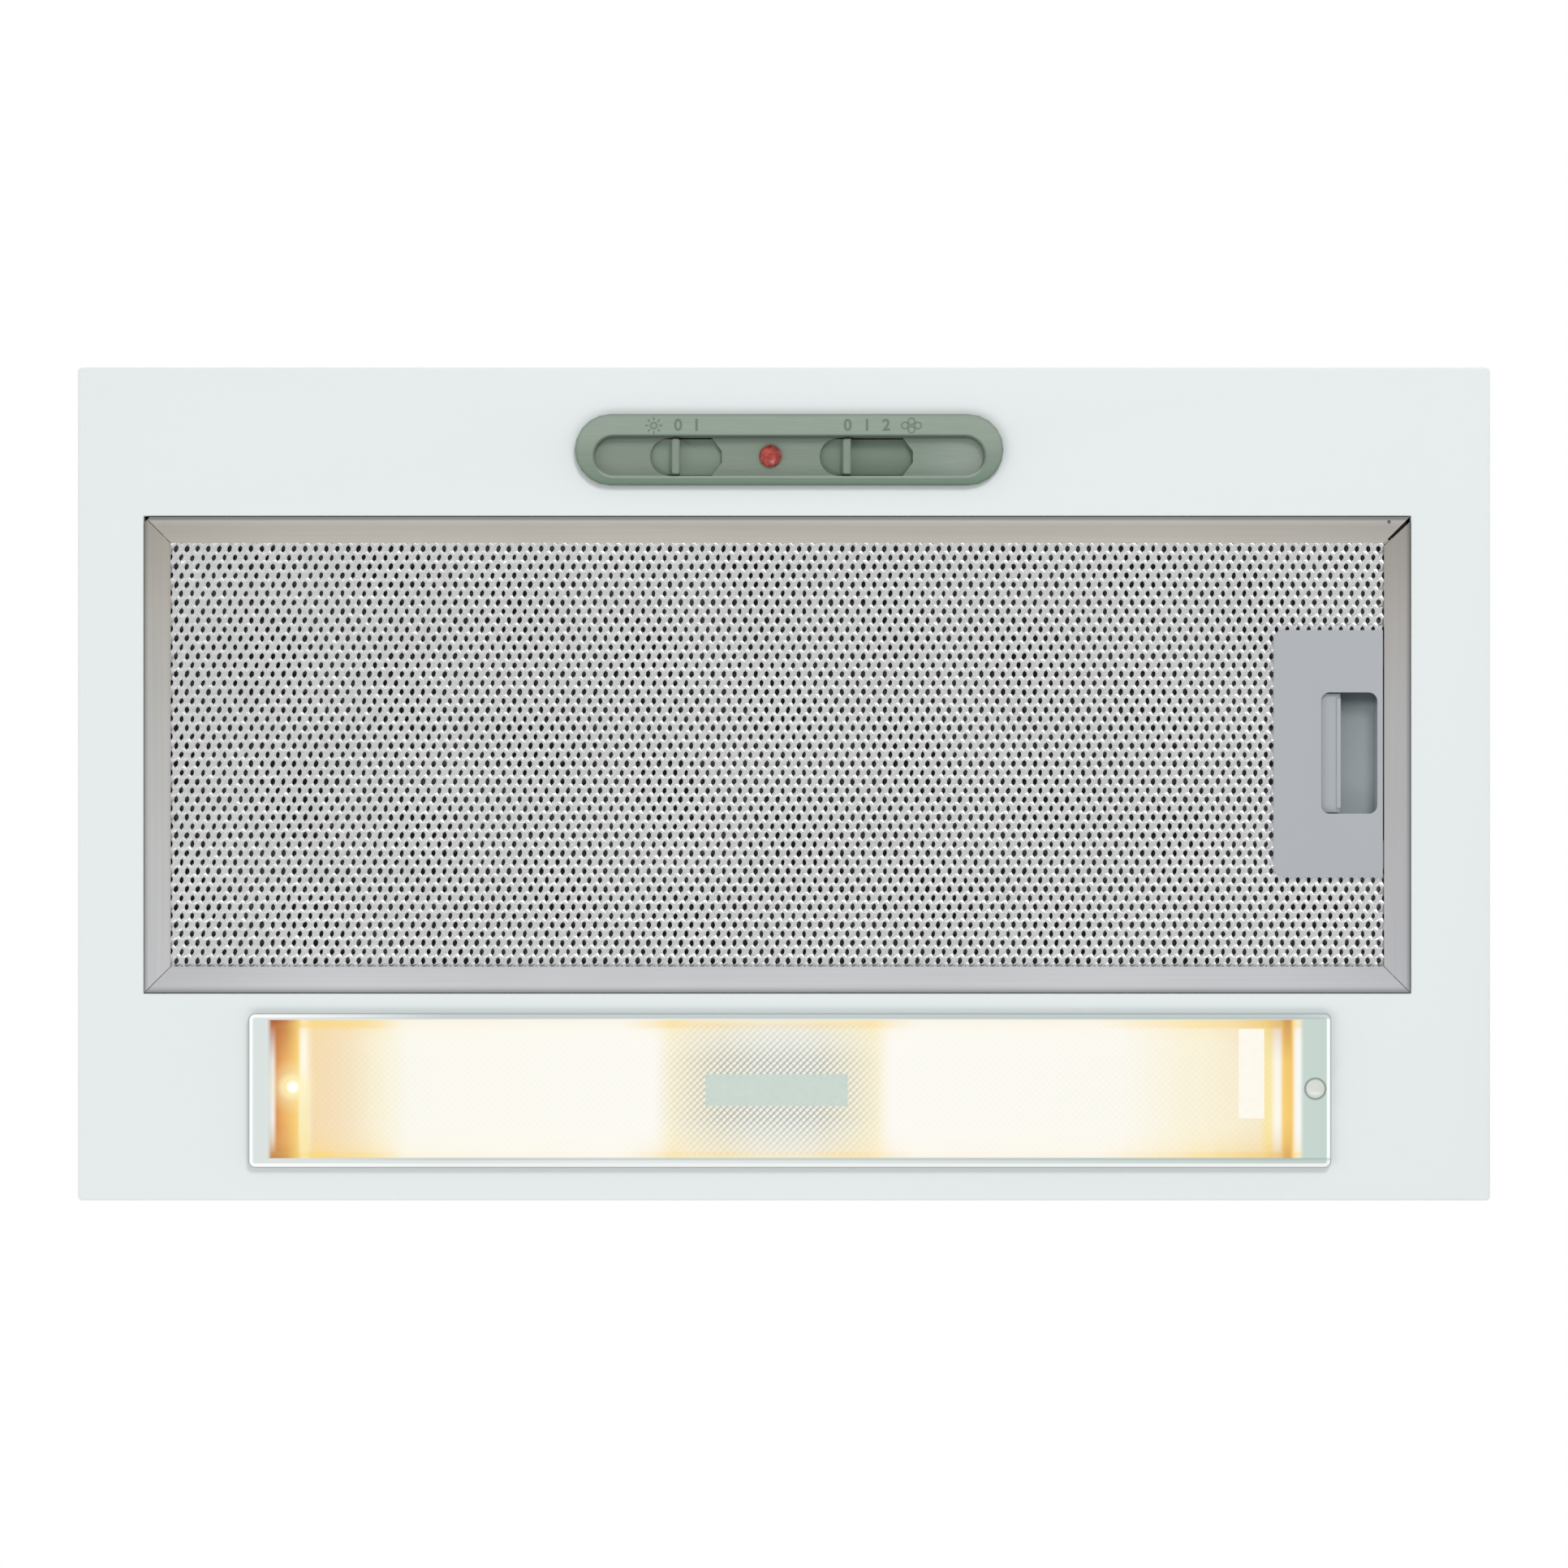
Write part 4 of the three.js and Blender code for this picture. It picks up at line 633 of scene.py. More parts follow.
# painted light: the plain plates on the cover glow from the bulbs behind, the middle one dimly, the
# right one brightly
PLATE_DIM_PAINTED_GLOW = glowing("plain_plate_dim_painted_glow", 0.5, (0.32, 0.36, 0.33), srgb(200, 214, 205),
                    srgb(186, 202, 192))
PLATE_BRIGHT_PAINTED_GLOW = glowing("plain_plate_bright_painted_glow", 0.9, (0.1, 0.1, 0.1), srgb(253, 248, 236),
                    srgb(250, 242, 226))
LAMP_GLASS = glowing("lit_lamp_glass", 1.6, (0.9, 0.86, 0.78), (1.0, 0.78, 0.45), (1.0, 0.9, 0.68))
CAP_GREY = coat("screw_cap", srgb(224, 229, 221), 0.32, 0.2, grain=1.5, depth=0.004, spread=0.03)
# painted shade: a flat darker ring for the shade in the recess round the right screw head
SCREW_RECESS_PAINTED_SHADE = coat("screw_recess", srgb(146, 160, 153), 0.5, 0.0, grain=1.5, depth=0.004, spread=0.05)


# ------------------------------------------------------------------ face plate

TOUCH = 1e-5                            # metres; vertices this close to a plane are on it
PLATE_LO, PLATE_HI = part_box("face_plate")
FACE_Z = PLATE_LO.z
WINDOW_LO, WINDOW_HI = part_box("filter_frame")
WINDOW_GAP = 2 * MM                     # more than the gap between the filter and its opening


def on_rim(edge):
    """True for the folded edges round the outside of the face and down its corners."""
    ends = [v.co for v in edge.verts]
    at_x = all(min(abs(p.x - PLATE_LO.x), abs(p.x - PLATE_HI.x)) < TOUCH for p in ends)
    at_y = all(min(abs(p.y - PLATE_LO.y), abs(p.y - PLATE_HI.y)) < TOUCH for p in ends)
    low = all(abs(p.z - FACE_Z) < TOUCH for p in ends)
    return (low and (at_x or at_y)) or (at_x and at_y)


def on_window(edge):
    """True for the edges of the filter's opening that face the room."""
    return all(abs(v.co.z - FACE_Z) < TOUCH and
               WINDOW_LO.x - WINDOW_GAP < v.co.x < WINDOW_HI.x + WINDOW_GAP and
               WINDOW_LO.y - WINDOW_GAP < v.co.y < WINDOW_HI.y + WINDOW_GAP for v in edge.verts)


plate = merged_copy("face_plate")
rounded(plate, [e for e in sharp_edges(plate) if on_rim(e)], 1.6, 4)
rounded(plate, [e for e in sharp_edges(plate, 50) if on_window(e)], 0.5, 3)
rounded(plate, sharp_edges(plate, 50), 0.15, 2)
put("face_plate_finished", "hood", WHITE, plate, ("face_plate",), 40)


# ------------------------------------------------------------------ grease filter

LUG_REACH = 4.2 * MM                    # the lugs reach this far past the left rail
FILTER_LO = WINDOW_LO + Vector((LUG_REACH, 0, 0))
FILTER_HI = WINDOW_HI
LATCH_LO, LATCH_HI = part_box("latch_plate")
LATCH_CORNER = 3.7 * MM
LATCH_SKIN = 1.2 * MM                   # what lies deeper than this is in the finger pull
FOIL_TUCK = 0.8 * MM                    # how far the foil reaches behind the latch plate
FOIL_INSET = 6.0 * MM                   # from the frame's outside to the foil's cut edge
PITCH_X = 3.8                           # between the foil's holes, and between its rows
PITCH_Y = 3.17
LATCH_DIP = (176, -10.7, 46)            # left side, middle y and half height of the latch plate
OPEN_GAP = 1.7 * MM                     # between the strip's two ends, at the outer corner
STRIP_END = (-0.93, -1, 0)              # the way out of the right rail's cut end
TIP_CUT = 1.9 * MM
OPEN_CORNER = Vector((FILTER_HI.x, FILTER_LO.y, 0))
FOLDED_CORNER = Vector((FILTER_LO.x, FILTER_LO.y, 0))


def rail_paint(bm):
    """Gives each face of the cassette frame the brushing of the rail that it belongs to."""
    for face in bm.faces:
        c = face.calc_center_median()
        to_side = min(abs(c.x - FILTER_LO.x), abs(c.x - FILTER_HI.x))
        to_end = min(abs(c.y - FILTER_LO.y), abs(c.y - FILTER_HI.y))
        face.material_index = 1 if to_side < to_end else 0


def faces_near(bm, corner):
    """The faces that reach within 20 mm of a corner of the frame, seen from below."""
    return [f for f in bm.faces if any((v.co - corner).xy.length < 20 * MM for v in f.verts)]


def cut_off(bm, faces, point, away):
    """Cuts these faces off beyond a plane and closes the cut."""
    edges = {e for f in faces for e in f.edges}
    verts = {v for f in faces for v in f.verts}
    bmesh.ops.bisect_plane(bm, geom=faces + list(edges) + list(verts), dist=1e-7, plane_co=point,
                           plane_no=away, clear_outer=True)
    closed(bm)


# one strip folded round three corners, whose ends leave a gap that widens outwards at the fourth
cassette = merged_copy("filter_frame")
rail_paint(cassette)
right_rail = [f for f in faces_near(cassette, OPEN_CORNER) if f.material_index == 1]
cut_off(cassette, right_rail, OPEN_CORNER + Vector((0, OPEN_GAP, 0)), STRIP_END)
tip = faces_near(cassette, FOLDED_CORNER)
cut_off(cassette, tip, FOLDED_CORNER + Vector((TIP_CUT, 0, 0)), (-1, -1, 0))
rounded(cassette, sharp_edges(cassette), 0.32, 2)
put("filter_frame_finished", "filter", [RAIL_X_PAINTED_SHADE, RAIL_Y_PAINTED_SHADE], cassette,
    ("filter_frame",))

corner = Vector((FILTER_HI.x, FILTER_LO.y, FILTER_LO.z)) / MM
# a near-black sheet behind the open corner, painted shade seen through the gap
corner_shade_sheet = bmesh.new()
slab(corner_shade_sheet, corner.x - 8.2, corner.x - 1.2, corner.y + 1.2, corner.y + 8.2, corner.z + 1.1,
     corner.z + 1.2)
put("frame_corner_shade", "filter", FOIL_CORE_PAINTED_SHADE, corner_shade_sheet)

pin = bmesh.new()
dome(pin, corner + Vector((-7.5, 1.8, 0)), (0, 0, -1), 0.65, 0.25)
put("frame_corner_pin", "filter", SPRING, pin)

latch = merged_copy("latch_plate")
# faces deep in the finger pull take the painted shade
for face in latch.faces:
    face.material_index = 1 if face.calc_center_median().z > LATCH_LO.z + LATCH_SKIN else 0
rounded(latch, sharp_edges(latch), 0.35, 3)
put("latch_plate_finished", "filter", [LATCH_GREY, LATCH_PULL_PAINTED_SHADE], latch,
    ("latch_plate",))


def foil_cell(bm):
    """A flat six-sided cell with the middles of its sides, which tiles in staggered rows."""
    cell = bmesh.ops.create_circle(bm, cap_ends=True, segments=8, radius=1)["verts"]
    for v in cell:
        v.co.x = math.copysign(PITCH_X / 2, v.co.x) if abs(v.co.x) > 0.1 else 0
        if v.co.x == 0:
            v.co.y = math.copysign(PITCH_Y * 0.68, v.co.y)
        elif abs(v.co.y) > 0.1:
            v.co.y = math.copysign(PITCH_Y * 0.32, v.co.y)
    return cell[0].link_faces[0]


def foil_tile(bm, across, along, lift, wall, tilt=-0.1):
    """One hole of the expanded foil in its cell, with a raised lower strand, a sunk upper strand
    and, if wall is given, the hole's own edge. Millimetres; z grows away from the room."""
    face = foil_cell(bm)
    spent = [face]
    rims = [(1.0, lift, 0)] + ([(0.92, 0.0, wall)] if wall else [])
    for size, height, depth in rims:
        inner = bmesh.ops.extrude_face_region(bm, geom=[face])["geom"]
        face = next(g for g in inner if isinstance(g, bmesh.types.BMFace))
        spent.append(face)
        for v in face.verts:
            a = math.atan2(v.co.y, v.co.x)
            v.co.x = math.cos(a) * across * size + tilt * math.sin(a)
            v.co.y = math.sin(a) * along * size
            v.co.z += depth - height * (math.sin(a) + 0.5)
    bmesh.ops.delete(bm, geom=spent, context="FACES_ONLY")


def under_latch(point):
    """True behind the latch plate, whose two corners away from the rail are round, less a
    narrow border that the foil reaches into."""
    past_x = max(LATCH_LO.x + LATCH_CORNER - point.x, 0)
    past_y = max(LATCH_LO.y + LATCH_CORNER - point.y, point.y - LATCH_HI.y + LATCH_CORNER, 0)
    return math.hypot(past_x, past_y) < LATCH_CORNER - FOIL_TUCK


def repeated(bm, count, step):
    """Doubles the mesh along a step until it holds at least count copies."""
    have = 1
    while have < count:
        made = bmesh.ops.duplicate(bm, geom=whole(bm))["geom"]
        bmesh.ops.translate(bm, verts=verts_in(made), vec=have * step)
        have *= 2


def foil_sheet(z, holes, lift, wall, turn=0.0, offset=(0, 0), stretch=1.0, flip=1):
    """A sheet of expanded foil cut to the cassette, with room for the latch. holes are the
    (half width, half height) of the two kinds of hole, which take turns row by row."""
    bm = bmesh.new()
    for row, (across, along) in enumerate(holes):
        one = bmesh.new()
        foil_tile(one, across, along, lift, wall)
        bmesh.ops.translate(one, verts=one.verts, vec=(PITCH_X / 2 * row, PITCH_Y * row, 0))
        absorb(bm, one)
    columns = math.ceil((FILTER_HI.x - FILTER_LO.x) / MM / PITCH_X / stretch) + 8
    rows = math.ceil((FILTER_HI.y - FILTER_LO.y) / MM / PITCH_Y / stretch / 2) + 6
    repeated(bm, columns, Vector((PITCH_X, 0, 0)))
    repeated(bm, rows, Vector((0, 2 * PITCH_Y, 0)))
    bmesh.ops.scale(bm, verts=bm.verts, vec=Vector((stretch, stretch, flip)) * MM)
    if flip > 0:
        bmesh.ops.reverse_faces(bm, faces=bm.faces)
    wide, deep = columns * PITCH_X * stretch, rows * 2 * PITCH_Y * stretch
    shift(bm, bm.verts, offset[0] - wide / 2, offset[1] - deep / 2, 0)
    if turn:
        rotate(bm, bm.verts, turn, "Z")
    middle = (FILTER_LO + FILTER_HI) / 2
    bmesh.ops.translate(bm, verts=bm.verts, vec=(middle.x, middle.y, z * MM))
    trimmed(bm, *four_sides(FILTER_LO.x + FOIL_INSET, FILTER_HI.x - FOIL_INSET,
                            FILTER_LO.y + FOIL_INSET, FILTER_HI.y - FOIL_INSET))
    hidden = [f for f in bm.faces if under_latch(f.calc_center_median())]
    bmesh.ops.delete(bm, geom=hidden, context="FACES")
    bmesh.ops.remove_doubles(bm, verts=bm.verts, dist=0.02 * MM)
    return bm


def waved(bm, height=0.06, dip=0.25, ruffle=0.32):
    """Gentle waves in a foil sheet, a dip next to the latch plate and uneven strands."""
    for v in bm.verts:
        x, y = v.co.x / MM, v.co.y / MM
        shove = noise.noise_vector(Vector((x, y, 0)) * 0.35)
        wave = math.sin(x * 0.11 + 1.3 * math.sin(y * 0.07))
        wave *= math.sin(y * 0.13 + 0.4 * math.sin(x * 0.05))
        gap = max(abs(y - LATCH_DIP[1]) - LATCH_DIP[2], LATCH_DIP[0] - x, 0)
        v.co.z += (height * wave + dip * math.exp(-(gap / 7) ** 2)) * MM
        v.co += Vector((shove.x, shove.y, 0)) * ruffle * min(gap / 4, 1) * MM


outer = foil_sheet(-10.75, [(0.81, 1.33), (0.73, 1.25)], 0.42, 0.3)
waved(outer)
put("filter_foil_outer", "filter", FOIL, outer, ("filter_mesh_outer",), 0)
second = foil_sheet(-9.9, [(0.95, 1.35), (0.9, 1.3)], 0.1, 0, 0.05, (1.1, 0.9), 1.06)
put("filter_foil_second", "filter", FOIL_BACK_PAINTED_SHADE, second, (), 0)
inner = foil_sheet(-4.4, [(0.78, 1.22), (0.6, 1.0)], 0.3, 0, 0.0, (0.5, 0.4), 1.0, -1)
put("filter_foil_inner", "filter", FOIL, inner, ("filter_mesh_inner",), 0)


# ------------------------------------------------------------------ painted and softened CAD pieces

def both(stem, width, paint):
    return [(f"{stem}_left", width, paint), (f"{stem}_right", width, paint)]


# each node with the width of its rounded edges, in millimetres, and its finish
SOFT = [
    ("latch_slider", 0.3, SLIDE_GREY), ("latch_spring", 0.1, SPRING), ("latch_strike", 0.15, SPRING),
    ("control_bezel", 0.7, BEZEL_GREEN), ("light_switch", 0.5, BLACK), ("fan_switch", 0.5, BLACK),
    ("switch_box", 0.3, ZINC_SHEET), ("lampholder_bracket", 0.3, ZINC_SHEET),
    *both("lampholder", 0.8, PORCELAIN), ("lamp_reflector", 0.3, REFLECTOR),
    *both("bulb", 0.0, LAMP_GLASS), ("housing_wrap", 0.3, ZINC_SHEET),
    *both("side_panel", 0.3, ZINC_SHEET), *both("mounting_clip", 0.2, SPRING),
    ("outlet_collar", 0.4, BLACK), ("damper_bar", 0.3, BLACK),
    ("damper_flap_front", 0.3, FLAP_GREY), ("damper_flap_rear", 0.3, FLAP_GREY),
    ("damper_pin_front", 0.2, BRIGHT), ("damper_pin_rear", 0.2, BRIGHT),
    *both("scroll_half", 0.4, SCROLL_BLACK), ("motor_shaft", 0.2, BRIGHT),
    ("motor_rotor", 0.2, STACK), ("motor_stator", 0.3, STACK), *both("motor_coil", 1.5, COPPER),
    *both("motor_cap", 0.8, MOTOR_ZINC), *both("motor_bearing", 0.3, BRONZE),
    ("motor_bracket", 0.5, ZINC_SHEET), ("terminal_box", 0.6, BLACK),
    ("terminal_box_lid", 0.5, BLACK), ("cable_gland", 0.4, BLACK), ("cable_gland_nut", 0.3, BLACK),
    # the filter's core takes the near-black painted shade
    ("capacitor", 1.0, CAN), ("capacitor_nut", 0.3, BRIGHT), ("filter_mesh_core", 0.0, FOIL_CORE_PAINTED_SHADE),
]
SOFT += [(f"collar_screw_{number}", 0.3, BRIGHT) for number in (1, 2, 3, 4)]
for node, width, paint in SOFT:
    softened(node, width, paint)


# ------------------------------------------------------------------ lamp cover

# the cover's colour is all emitted: painted glow of the bulbs, painted highlights and painted shade
softened("lamp_cover", 0.35, COVER_SKIN)
RIBS = ((-170.8, -167.7), (172.4, 175.7))
END_WALLS = ((-181.7, -180.1), (180.1, 182.2))
PANEL = [side * MM for side in (RIBS[0][1] + 0.4, RIBS[1][0] - 0.4, 84.6, 131.2)]
LABELS = [("middle", PLATE_DIM_PAINTED_GLOW, (-27.8, 22.5, 102.4, 113.8)),
          ("right", PLATE_BRIGHT_PAINTED_GLOW, (160.6, 169.5, 86.5, 118.0))]

# pyramids in diagonal rows on the cover's face, with a smooth border
prisms = bmesh.new()
wide, deep = PANEL[1] - PANEL[0], PANEL[3] - PANEL[2]
cells = 2 * math.ceil((wide + deep) / MM / math.sqrt(8) / HATCH) + 4
bmesh.ops.create_grid(prisms, x_segments=cells, y_segments=cells, size=cells * HATCH * MM / 2)
rotate(prisms, prisms.verts, math.pi / 4, "Z")
diagonal = HATCH * math.sqrt(2)
centre = [diagonal * round((PANEL[k] + PANEL[k + 1]) / 2 / MM / diagonal) for k in (0, 2)]
shift(prisms, prisms.verts, *centre, COVER_FACE - 0.03)
trimmed(prisms, *four_sides(*PANEL))
bmesh.ops.reverse_faces(prisms, faces=prisms.faces)
bmesh.ops.poke(prisms, faces=prisms.faces[:], offset=0.28 * MM)
# the prisms carry the cover's painted glow and painted shade between their rows
put("lamp_cover_prisms", "hood", COVER_PRISMS, prisms, (), 0)

# the ribs and end walls carry the same painted glow as the cover
walls = bmesh.new()
for x0, x1 in RIBS:
    slab(walls, x0, x1, 83.9, 132.0, COVER_FACE - 0.5, COVER_FACE + 0.2, 0.3, 3)
for x0, x1 in END_WALLS:
    slab(walls, x0, x1, 83.0, 132.6, COVER_FACE - 0.3, COVER_FACE + 0.2, 0.2, 2)
put("lamp_cover_walls", "hood", COVER_SKIN, walls)

for name, paint, outline in LABELS:
    plates = bmesh.new()
    slab(plates, *outline, COVER_FACE - 0.42, COVER_FACE, 0.12, 2)
    put(f"lamp_cover_plate_{name}", "hood", paint, plates)


def screw_head(r, seat):
    """The outline of a low round head on its seat, with a short shank behind it."""
    crown = [(0, -1.5), (0.3, -1.45), (0.6, -1.2), (0.85, -0.7), (0.97, -0.3), (1, 0)]
    shank = [(1.5, seat), (1.5, -4.5), (0, -3)]
    return [(r * part, seat + height) for part, height in crown] + shank


SCREW_SEAT = COVER_FACE - 0.3
# the left head takes the painted glow; the right one its own grey cap colour
for side, paint in (("left", SCREW_PAINTED_GLOW), ("right", CAP_GREY)):
    node = f"cover_screw_{side}"
    screw_lo, screw_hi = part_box(node)
    spot = middle_of(node)
    r = (screw_hi.x - screw_lo.x) / 2 / MM
    head = turned(screw_head(r, SCREW_SEAT), spot.x, spot.y, 0, 32)
    put(f"{node}_finished", "hood", paint, head, (node,), 50)
    if side == "right":
        # a flat ring with painted shade for the recess round the head
        ring = [(r + 0.05, SCREW_SEAT - 0.1), (r + 0.7, SCREW_SEAT - 0.1),
                (r + 0.7, SCREW_SEAT + 0.2), (r + 0.05, SCREW_SEAT + 0.2)]
        recess = turned(ring, spot.x, spot.y, 0, 32)
        put("cover_screw_recess", "hood", SCREW_RECESS_PAINTED_SHADE, recess)


# ------------------------------------------------------------------ switches, jewel and legends

RIDGE_TOP = -10.8 * MM                  # below this height a face belongs to the knob's ridge
RIDGE_SIDE = -10.5 * MM
KNOB_FACE = -8.8 * MM


def on_ridge(edge):
    """True for the edges of a knob's ridge and down its corners."""
    low, high = sorted(v.co.z for v in edge.verts)
    return high < RIDGE_SIDE or (low < RIDGE_SIDE and high < KNOB_FACE)


# the fan knob takes the darker copy with painted shade
for node, paint in (("light_slider", KNOB_GREEN), ("fan_slider", KNOB_PAINTED_SHADE)):
    knob = merged_copy(node)
    for face in knob.faces:
        face.material_index = 1 if face.calc_center_median().z < RIDGE_TOP else 0
    rounded(knob, [e for e in sharp_edges(knob) if on_ridge(e)], 1.0, 4)
    rounded(knob, sharp_edges(knob, 60), 0.15, 2)
    put(node + "_finished", BODY[node], [paint, RIDGE_GREEN], knob, (node,), 40)

JEWEL_R = 3.95
jewel_spot = middle_of("indicator_lens")
jewel = bmesh.new()
bmesh.ops.create_icosphere(jewel, subdivisions=2, radius=JEWEL_R * MM)
bmesh.ops.scale(jewel, verts=jewel.verts, vec=(1, 1, 0.62))
trimmed(jewel, ((0, 0, 0), (0, 0, 1)))
closed(jewel)
shift(jewel, jewel.verts, jewel_spot.x, jewel_spot.y, -11.3)
put("pilot_jewel", "hood", RED, jewel, (), 0)
softened("indicator_lens", 0.1, RED)

MARK_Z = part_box("control_bezel")[0].z / MM - 0.02
MARK_Y = -126.6


def numeral(digit, x):
    """A digit on the bezel's rim, read from below, as a thin raised mesh."""
    letters = bpy.data.curves.new("numeral", "FONT")
    letters.body = digit
    letters.size = 5.8 * MM
    letters.offset = 0.14 * MM
    letters.extrude = 0.02 * MM
    letters.align_x = "CENTER"
    letters.align_y = "CENTER"
    holder = bpy.data.objects.new("numeral", letters)
    made = bpy.data.meshes.new_from_object(holder)
    bpy.data.objects.remove(holder)
    bm = bmesh.new()
    bm.from_mesh(made)
    bpy.data.meshes.remove(made)
    rotate(bm, bm.verts, math.pi, "X")
    shift(bm, bm.verts, x, MARK_Y, MARK_Z)
    return bm


def mark_ring(bm, x, r, width=0.45, lower=0.0):
    """A flat ring on the bezel's rim, this much below the line of the numbers."""
    outline = [(r - width, -0.02), (r, -0.02), (r, 0.02), (r - width, 0.02)]
    absorb(bm, turned(outline, x, MARK_Y + lower, MARK_Z, 20))


def mark_ray(bm, x, start, length, turn, width=0.5):
    """A short bar pointing away from (x, MARK_Y)."""
    before = set(bm.verts)
    slab(bm, start, start + length, -width / 2, width / 2, -0.02, 0.02)
    fresh = [v for v in bm.verts if v not in before]
    rotate(bm, fresh, turn, "Z")
    shift(bm, fresh, x, MARK_Y, MARK_Z)


LAMP_SIGN_X = -46.0
FAN_SIGN_X = 45.0
legends = bmesh.new()
for digit, x in (("0", -37.4), ("1", -30.9), ("0", 22.5), ("1", 29.3), ("2", 36.1)):
    absorb(legends, numeral(digit, x))
mark_ring(legends, LAMP_SIGN_X, 1.3)
for step in range(8):
    mark_ray(legends, LAMP_SIGN_X, 1.9, 1.1, step * math.pi / 4)
for step in range(4):
    turn = step * math.tau / 4
    mark_ring(legends, FAN_SIGN_X + 2.3 * math.cos(turn), 1.4, lower=1.45 * math.sin(turn))
put("bezel_legends", "hood", MARKING, legends, (), 0)


# ------------------------------------------------------------------ fan wheel

wheel_lo, wheel_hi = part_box("impeller_left")
AXLE = middle_of("impeller_left")
AXLE.x = 0
WHEEL_HALF = -wheel_lo.x / MM
WHEEL_R = (wheel_hi.z - wheel_lo.z) / 2 / MM
BLADES = 40
BLADE_ROOT_R = 44.6
BLADE_BEND = (0, 49.6 * MM, -3.2 * MM)  # the axis that each blade curves round
BLADE_HALF = WHEEL_HALF - 0.8
HOOP_R = 43.8                           # inside radius of the end hoops
HOOP_T = 1.8
DISC_R = 54.4

# one curved blade, copied round the wheel
wheel = bmesh.new()
root = wheel.verts.new((0, BLADE_ROOT_R * MM, 0))
bmesh.ops.spin(wheel, geom=[root], cent=BLADE_BEND, axis=(1, 0, 0), dvec=(0, 0, 0),
               angle=math.radians(-112), steps=5, use_merge=False, use_duplicate=False)
strip = bmesh.ops.extrude_edge_only(wheel, edges=wheel.edges[:])["geom"]
shift(wheel, verts_in(strip), 2 * BLADE_HALF, 0, 0)
shift(wheel, wheel.verts, -BLADE_HALF, 0, 0)
bmesh.ops.solidify(wheel, geom=wheel.faces[:], thickness=0.7 * MM)
blade = whole(wheel)
for step in range(1, BLADES):
    copy = bmesh.ops.duplicate(wheel, geom=blade)["geom"]
    rotate(wheel, verts_in(copy), step * math.tau / BLADES, "X")
shift(wheel, wheel.verts, *AXLE)
bmesh.ops.recalc_face_normals(wheel, faces=wheel.faces)


def ring_outline(r0, r1, x0, x1):
    return [(r0, x0), (r1, x0), (r1, x1), (r0, x1)]


hub = [(4.3, 0), (8.5, 0), (9, 0.5), (9, 13.5), (8.5, 14), (4.3, 14)]
for outline in (ring_outline(HOOP_R, WHEEL_R, -WHEEL_HALF, HOOP_T - WHEEL_HALF),
                ring_outline(HOOP_R, WHEEL_R, WHEEL_HALF - HOOP_T, WHEEL_HALF),
                ring_outline(4.3, DISC_R, 4, 6), hub):
    absorb(wheel, turned(outline, *AXLE, 64, True))
put("impeller_finished", "fan_wheel", FAN_GREY, wheel,
    ("impeller_left", "impeller_right"))


# ------------------------------------------------------------------ fasteners on the housing

HOUSE_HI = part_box("housing_wrap")[1] / MM
FOOT_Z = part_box("side_panel_left")[0].z / MM + 0.8
RIVET = (2.4, 0.9)                      # radius and height
WELD = (1.7, 0.25)
BACK_Y = 138

rivets = bmesh.new()
for x in (5 - HOUSE_HI.x, HOUSE_HI.x - 5):
    for z in (22, 60, 92):
        dome(rivets, (x, -BACK_Y, z), (0, -1, 0), *RIVET)
    for z in (14, 36):
        dome(rivets, (x, BACK_Y, z), (0, 1, 0), *RIVET)
    for y in (-88, -30, 28, 68):
        dome(rivets, (x, y, HOUSE_HI.z), (0, 0, 1), *RIVET)
put("housing_rivets", "hood", BRIGHT, rivets)

welds = bmesh.new()
for x in range(-200, 201, 50):
    for y in (-141.6, 141.6):
        dome(welds, (x, y, FOOT_Z), (0, 0, 1), *WELD)
for y in range(-110, 111, 44):
    for x in (-235.6, 235.6):
        dome(welds, (x, y, FOOT_Z), (0, 0, 1), *WELD)
put("foot_spot_welds", "hood", ZINC_SHEET, welds)

sticker = bmesh.new()
slab(sticker, 96, 166, -70, -30, HOUSE_HI.z, HOUSE_HI.z + 0.15, 0.05, 1)
put("blank_data_label", "hood", LABEL, sticker)


# ------------------------------------------------------------------ camera, floor and light

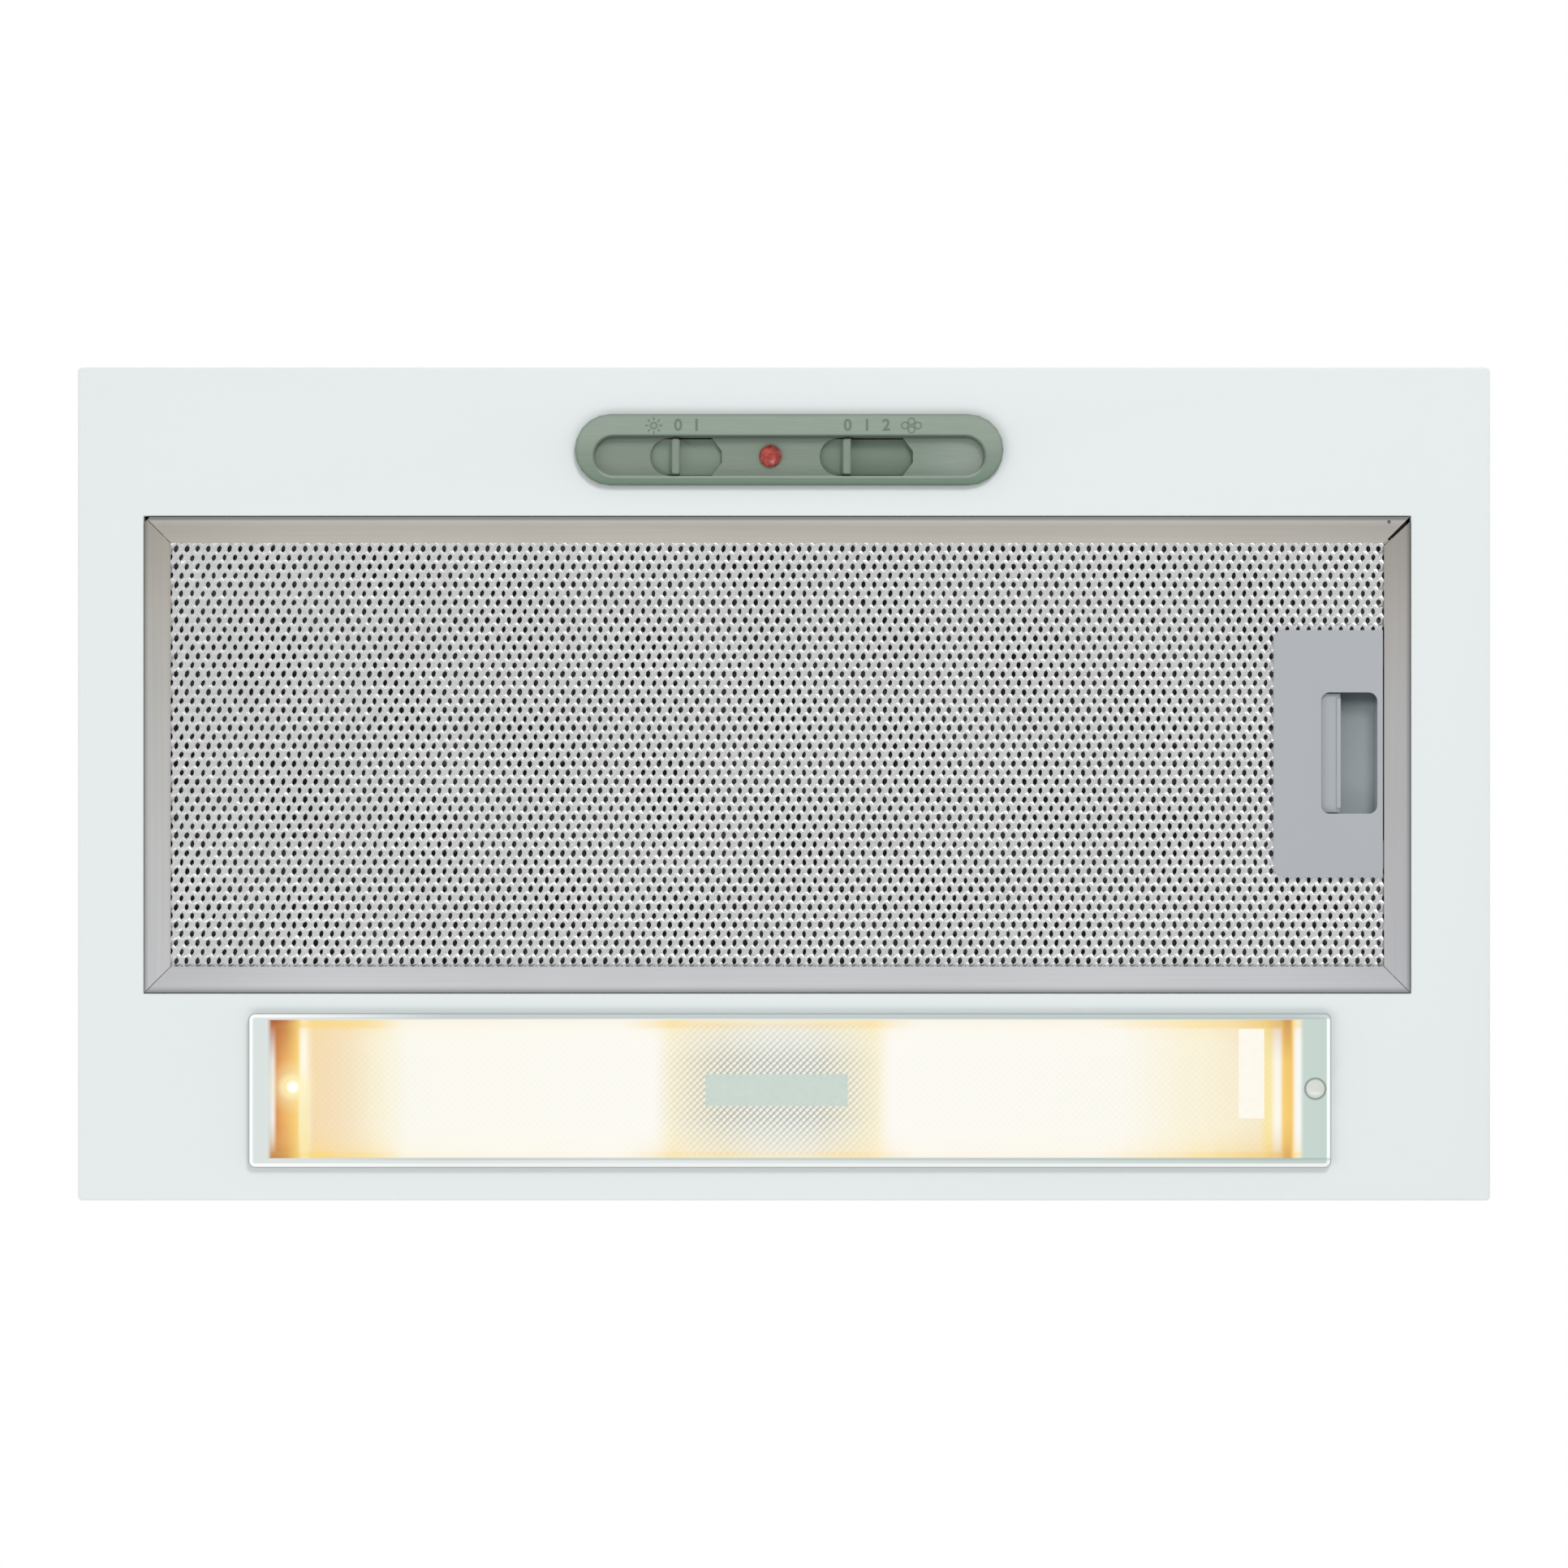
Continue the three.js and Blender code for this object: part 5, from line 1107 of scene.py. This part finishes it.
def soft_light(name, spot, size, power, aim=(0, 0, 0), mirrored=False, wide=1):
    """A rectangular lamp panel, which shows in glossy surfaces only if it is mirrored."""
    lamp = bpy.data.lights.new(name, "AREA")
    lamp.shape = "RECTANGLE"
    lamp.size = size * wide
    lamp.size_y = size
    lamp.energy = power
    holder = bpy.data.objects.new(name, lamp)
    holder.location = spot
    holder.rotation_euler = (Vector(aim) - Vector(spot)).to_track_quat("-Z", "Y").to_euler()
    holder.visible_glossy = mirrored
    scene.collection.objects.link(holder)
    return holder


floor_mesh = bmesh.new()
bmesh.ops.create_grid(floor_mesh, x_segments=1, y_segments=1, size=12)
floor_data = bpy.data.meshes.new("pale_floor")
floor_mesh.to_mesh(floor_data)
floor_mesh.free()
floor = bpy.data.objects.new("pale_floor", floor_data)
floor.location.z = -2.6
scene.collection.objects.link(floor)
floor_paint, _, floor_shader = blank("pale_floor")
floor_shader.inputs["Base Color"].default_value = (0.5, 0.5, 0.5, 1)
floor_shader.inputs["Roughness"].default_value = 0.9
floor_data.materials.append(floor_paint)

world = bpy.data.worlds.new("studio")
world.use_nodes = True
world.node_tree.nodes["Background"].inputs["Color"].default_value = (1, 1, 1, 1)
world.node_tree.nodes["Background"].inputs["Strength"].default_value = 1.0
scene.world = world

lights = [
    soft_light("room_key", (0.45, -1.2, -1.6), 0.6, 14),
    soft_light("room_fill", (-1.3, 0.5, -1.2), 1.2, 5),
    soft_light("glint_panel", (0.25, 1.25, -1.3), 0.7, 7, (0.25, 0, 0), True, 4),
    soft_light("cabinet_light", (0.6, -1.0, 1.6), 1.2, 12, (0, 0, 0.1)),
]

FACE_WIDTH_IN_VIEW = 0.5546             # metres across the frame at the face
camera_data = bpy.data.cameras.new("camera")
camera_data.lens = 100
camera_data.sensor_width = 36
camera = bpy.data.objects.new("camera", camera_data)
camera.location = (0, 0, FACE_Z - FACE_WIDTH_IN_VIEW * camera_data.lens / camera_data.sensor_width)
camera.rotation_euler = (math.pi, 0, 0)
scene.collection.objects.link(camera)
scene.camera = camera
scene.view_settings.view_transform = "Standard"
scene.view_settings.look = "None"
